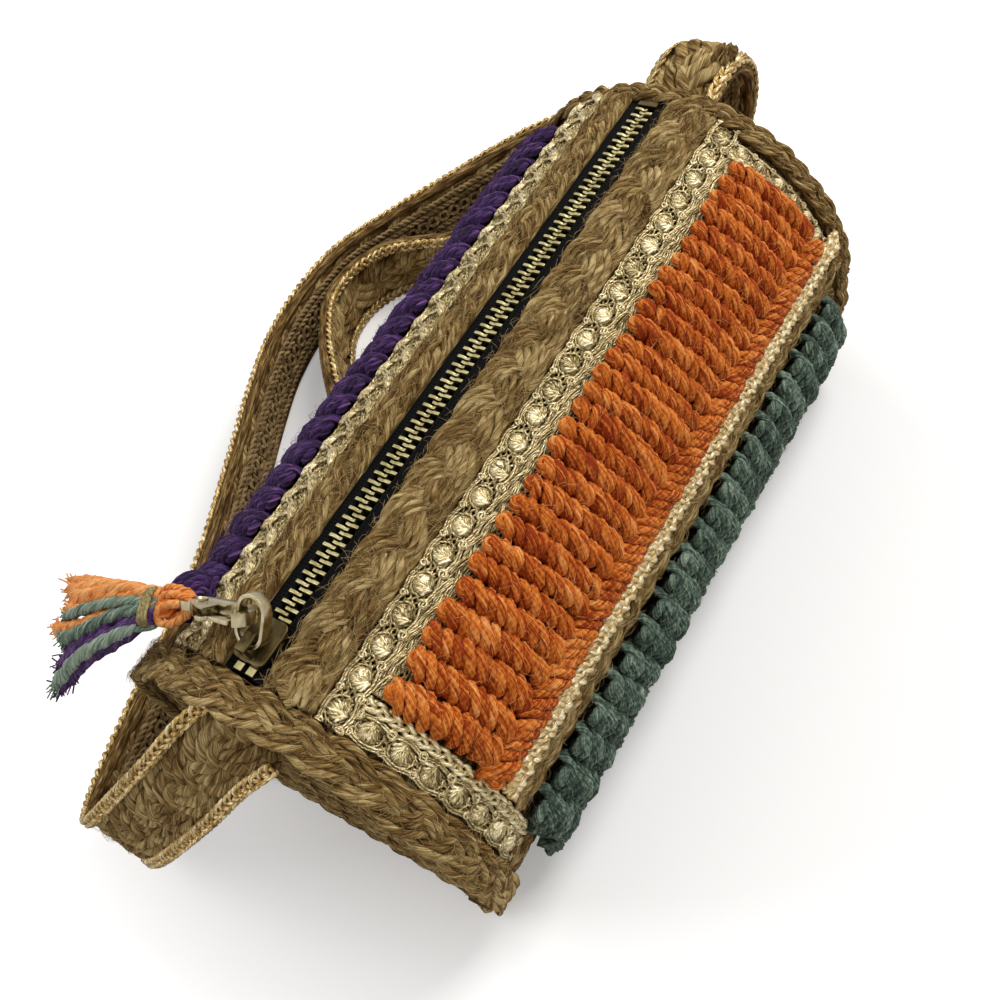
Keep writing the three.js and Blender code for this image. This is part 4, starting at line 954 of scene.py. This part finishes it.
def strap_frames(steps=12):
    """Centre line, edge and face directions along the strap, by centripetal Catmull-Rom spans."""
    knots = np.array([p for p, _ in STRAP_ROUTE], float)
    edges = np.array([e for _, e in STRAP_ROUTE], float)
    padded = np.concatenate([[2 * knots[0] - knots[1]], knots, [2 * knots[-1] - knots[-2]]])
    centres, edge_rows = [], []
    for i in range(len(knots) - 1):
        p0, p1, p2, p3 = padded[i:i + 4]
        d0, d1, d2 = (math.sqrt(np.linalg.norm(b - a)) for a, b in ((p0, p1), (p1, p2), (p2, p3)))
        m1 = ((p1 - p0) / d0 - (p2 - p0) / (d0 + d1) + (p2 - p1) / d1) * d1
        m2 = ((p2 - p1) / d1 - (p3 - p1) / (d1 + d2) + (p3 - p2) / d2) * d1
        for k in range(steps if i < len(knots) - 2 else steps + 1):
            t = k / steps
            centres.append(p1 + m1 * t + (3 * (p2 - p1) - 2 * m1 - m2) * t ** 2
                           + (2 * (p1 - p2) + m1 + m2) * t ** 3)
            edge_rows.append(edges[i] + (edges[i + 1] - edges[i]) * t)
    centres = np.array(centres)
    centres[:, 2] = np.maximum(centres[:, 2], EDGE_LEVEL)
    tangent = unit(np.gradient(centres, axis=0))
    edge_rows = square_to(np.array(edge_rows), tangent)
    return run_along(centres), centres, edge_rows, np.cross(tangent, edge_rows)


STRAP_RUN, STRAP_CENTRE, STRAP_EDGE, STRAP_FACE = strap_frames()
STRAP_START = 6.5
STRAP_END = STRAP_RUN[-1] - 5.0


def on_strap(points):
    """Lays a piece along the strap, whose face swells over its far arch."""
    along, across, out = points.T
    arch_half = 30.0
    arch = np.clip(1.3 - np.abs(along - (STRAP_RUN[-1] - arch_half)) / arch_half, 0, 1)
    out = out + np.where(out > -2.0, 3.0, 1.4) * arch * np.clip(1 - (across / 12.0) ** 2, 0, 1)
    out = out - 2.6 * arch * np.clip((-across - 7.0) / 4.0, 0, 1)
    spot, edge, face = (path(*(np.interp(along, STRAP_RUN, rows[:, i]) for i in range(3)))
                        for rows in (STRAP_CENTRE, STRAP_EDGE, STRAP_FACE))
    return spot + across[:, None] * edge + out[:, None] * face


strap_face = plait(STRAP_START, STRAP_END, 19.6, 4.8, 13.0, low=-1.9, step=1.3, tone=0.6, taper=2.0)
# A flat core under the plait and a cord under each gold trim, toned darker: painted shade in the gaps.
strap_core = np.arange(STRAP_START, STRAP_END, 2.5)
strap_face.append(tube(path(strap_core, 0, -0.6), 1.0, 11.6, sides=12, tone=0.2, taper=2.0))
for selvedge in (-10.3, 10.3):
    strap_face.append(tube(path(strap_core, selvedge, -0.1), 1.7, 1.6, tone=0.2, taper=2.5))
strap_face += strays(1850, (STRAP_START, STRAP_END), (-9, 9), 1.9, 1.4)
make_piece("strap_plait_jute", strap_face, on_strap, jute, "strap_plait")

# The plait's last yarns stick out beside the far arch, trimmed short.
jute_end = []
for _ in range(10):
    root = np.array([120.5, -11.5, 85.5]) + rng.normal(0, 1.2, 3)
    top = np.array([122.6, -13.6, 90.4]) + rng.normal(0, 1.1, 3)
    bent = np.array([1.2, -0.8, 0.6]) * rng.normal(0.3, 1.0)
    t = np.linspace(0, 1, 8)[:, None]
    jute_end.append(tube(root + (top - root) * t + bent * 4 * t * (1 - t), 1.0, 1.0, (0, 1, 0), sides=6,
                         plies=1, lay=9.0, tone=rng.uniform(0.2, 0.7), taper=1.4, lumps=0.1))
make_piece("strap_jute_end", jute_end, None, jute)

for side, centre in (("lower", 10.2), ("upper", -10.2)):
    trim = gold_plait(STRAP_START, STRAP_END, 3.6, 2.2, 2.9, low=1.2, centre=centre, lay=7.0, fat=0.2,
                      step=0.65, taper=1.5)
    make_piece(f"strap_gold_{side}", trim, on_strap, braid_thread, f"strap_gold_edge_{side}")


def crochet(start, end, low):
    """Eyelets of looped jute yarn between two chained rows."""
    pitch = 4.6
    tubes = []
    for at in np.arange(start + 2.5, end - 2.5, pitch):
        turn = np.linspace(0, 2 * np.pi * 1.06, 12)
        ring = path(at + 1.9 * np.cos(turn), 1.9 * np.sin(turn), low - 0.6 - 0.25 * np.sin(turn * 2))
        tubes.append(tube(ring, 0.75, 0.75, sides=6, plies=2, groove=0.12, lay=4, tone=rng.uniform(0.4, 0.7)))
    run = np.arange(start, end, 1.0)
    for centre in (-6.6, -4.0, 4.0, 6.6):
        for k in range(2):
            phase = 2 * np.pi * run / pitch + np.pi * k
            chain = path(run, centre + 0.75 * np.sin(phase), low - 0.5 - 0.3 * np.cos(phase))
            tubes.append(tube(chain, 0.7, 0.75, sides=6, tone=rng.uniform(0.3, 0.7)))
    return tubes


make_piece("strap_backing_crochet", crochet(STRAP_START, STRAP_END, -2.0), on_strap, jute_crochet,
           "strap_backing")

# Clasp and tassel: their places are the same as in the solids.
RING_LEAN = math.radians(45)
CLASP_FALL, CLASP_TURN = math.radians(11), math.radians(6)
TASSEL_FALL, TASSEL_TURN = math.radians(9), math.radians(25)
clasp_u = unit(np.array([
    -math.sin(CLASP_TURN), math.cos(CLASP_TURN) * math.cos(CLASP_FALL), -math.sin(CLASP_FALL)]))
clasp_n = square_to(np.array([math.cos(RING_LEAN), 0, math.sin(RING_LEAN)]), clasp_u)
clasp_v = np.cross(clasp_n, clasp_u)
RIVET_REACH, EYE_REACH, BINDING_REACH = 11.4, 15.2, 10.1
hook = np.array([-83.897, 3.8, 96.228]) + 0.9 * (clasp_u + clasp_v)
eye = hook + EYE_REACH * clasp_u
tassel_along = np.array([-math.sin(TASSEL_TURN) * math.cos(TASSEL_FALL),
                         math.cos(TASSEL_TURN) * math.cos(TASSEL_FALL), -math.sin(TASSEL_FALL)])
tassel_across = np.array([math.cos(TASSEL_TURN), math.sin(TASSEL_TURN), 0])
tassel_up = np.cross(tassel_across, tassel_along)
loop_up = square_to(clasp_n, tassel_along)
head = eye + BINDING_REACH * tassel_along

# A hollow rivet closes the clasp's folded tail.
bpy.ops.object.select_all(action="DESELECT")
bpy.ops.mesh.primitive_cylinder_add(vertices=32, radius=1.55, depth=0.9)
rivet = bpy.context.object
bpy.ops.object.mode_set(mode="EDIT")
bpy.ops.mesh.select_all(action="DESELECT")
bpy.ops.object.mode_set(mode="OBJECT")
for face in rivet.data.polygons:
    face.select = face.normal.z > 0.9
bpy.ops.object.mode_set(mode="EDIT")
bpy.ops.mesh.inset(thickness=0.55)
bpy.ops.transform.translate(value=(0, 0, -0.7))
bpy.ops.object.mode_set(mode="OBJECT")
round_edges(rivet, 0.18, 3)
bpy.ops.object.shade_smooth_by_angle(angle=math.radians(40))
rivet_turn = Matrix(np.stack([clasp_u, clasp_v, clasp_n], -1).tolist()).to_4x4()
rivet_place = Matrix.Translation(hook + RIVET_REACH * clasp_u + 1.5 * clasp_n)
rivet.data.transform(Matrix.Scale(MM, 4) @ rivet_place @ rivet_turn)
rivet.name = "clasp_rivet"
hand_over(rivet, antique_brass, "clasp")

turn = np.linspace(0, 2 * np.pi, 25)
loops = []
for offset in (-1.9, 0.0, 1.9):
    loop = eye + np.outer(4.5 * (1 - np.cos(turn)), tassel_along) + np.outer(
        (2.6 - 0.25 * abs(offset)) * np.sin(turn) * (1 - 0.25 * np.cos(turn)), loop_up)
    spread = np.outer(offset * (1.1 - 0.35 * np.cos(turn)), tassel_across)
    loops.append(tube(loop + spread, 1.0, 1.05, tassel_across, sides=10, plies=2, groove=0.15, lay=5.5,
                      tone=rng.uniform(0.6, 0.9), ply_shade=0.25))
# A mass of yarn inside the loops, toned darker: painted shade between them.
bulk = eye + np.outer(np.linspace(4.4, BINDING_REACH, 7), tassel_along)
loops.append(tube(bulk, 1.7, 3.1, tassel_up, sides=12, taper=1.5, tone=0.2))
make_piece("tassel_loop_yarn", loops, None, soft_orange_yarn, "tassel_loop", "tassel")

wound = np.linspace(0, 2 * np.pi * 6, 150)
coil = head + np.outer(4.7 * flattened(np.cos(wound), 0.6), tassel_across) + np.outer(
    2.6 * flattened(np.sin(wound), 0.6), tassel_up) + np.outer(0.2 + 2.7 * wound / wound[-1], tassel_along)
binding = [tube(coil, 0.42, 0.38, tassel_along, sides=6, plies=2, groove=0.15, lay=2.0, tone=0.6)]
make_piece("tassel_binding_thread", binding, None, olive_thread, "tassel_binding", "tassel")

TASSEL_TIPS = np.array([(-91.0, 75.0, 71.0), (-104.0, 70.0, 70.0), (-114.0, 59.0, 68.0)])
FRAYED_FIBRES = 36


def tassel_yarns(yarn_colour, material, lift, places):
    """Yarns from the binding to their tips, each ending in a frayed tuft. A place is 0 at the tassel's orange
    edge and 1 at its purple edge."""
    tubes = []
    for place in places:
        start = head + tassel_across * (0.5 - place) * 6.4 + tassel_up * rng.uniform(-0.6, 1.0)
        tip = np.array([np.interp(place, (0, 0.5, 1), TASSEL_TIPS[:, i]) for i in range(3)])
        end = tip + tassel_up * (lift + rng.uniform(-1.6, 1.2)) + unit(tip - head) * rng.uniform(-5.0, 2.0)
        t = np.linspace(0, 1, 26)[:, None]
        arch = tassel_up * ((rng.uniform(0.5, 3.0) + lift * 0.5) * 4 * t * (1 - t))
        sway = tassel_across * (rng.normal(0, 0.7) * np.sin(t * np.pi * 2))
        points = start + (end - start) * t + arch + sway
        swell = rng.uniform(1.2, 1.5) + 0.3 * t[:, 0] ** 2
        tubes.append(tube(points, swell, swell, tassel_up, sides=10, plies=2, groove=0.2,
                          lay=rng.uniform(13.0, 17.0), tone=rng.uniform(0.6, 1.0), ply_shade=0.2, lumps=0.08))
        aim = unit(points[-1] - points[-3])
        for _ in range(FRAYED_FIBRES):
            t = np.linspace(0, 1, 5)[:, None]
            splay = tassel_across * rng.normal(0, 1.2) + tassel_up * rng.normal(0, 1.1)
            curl = tassel_across * rng.normal(0, 0.5) * np.sin(np.pi * t)
            root = tassel_across * rng.normal(0, 0.5) + tassel_up * rng.normal(0, 0.5) - aim * 1.4
            tuft = points[-1] + root + aim * t * rng.uniform(2.0, 6.0) + splay * t ** 1.3 + curl
            tubes.append(tube(tuft, 0.22, 0.22, tassel_up, sides=4, tone=rng.uniform(0.5, 0.9)))
    node = "tassel_" + yarn_colour
    make_piece(node + "_yarns", tubes, None, material, node, "tassel")


tassel_yarns("orange", soft_orange_yarn, 1.0, (
    -0.06, 0.0, 0.06, 0.12, 0.18, 0.24, 0.29, 0.46, 0.53, 0.09, 0.21))
tassel_yarns("teal", teal_yarn, 2.6, (0.36, 0.63, 1.05))
tassel_yarns("purple", purple_yarn, 0.0, (0.68, 0.74, 0.8, 0.86, 0.92, 0.98, 0.72, 0.8, 0.9, 1.0))
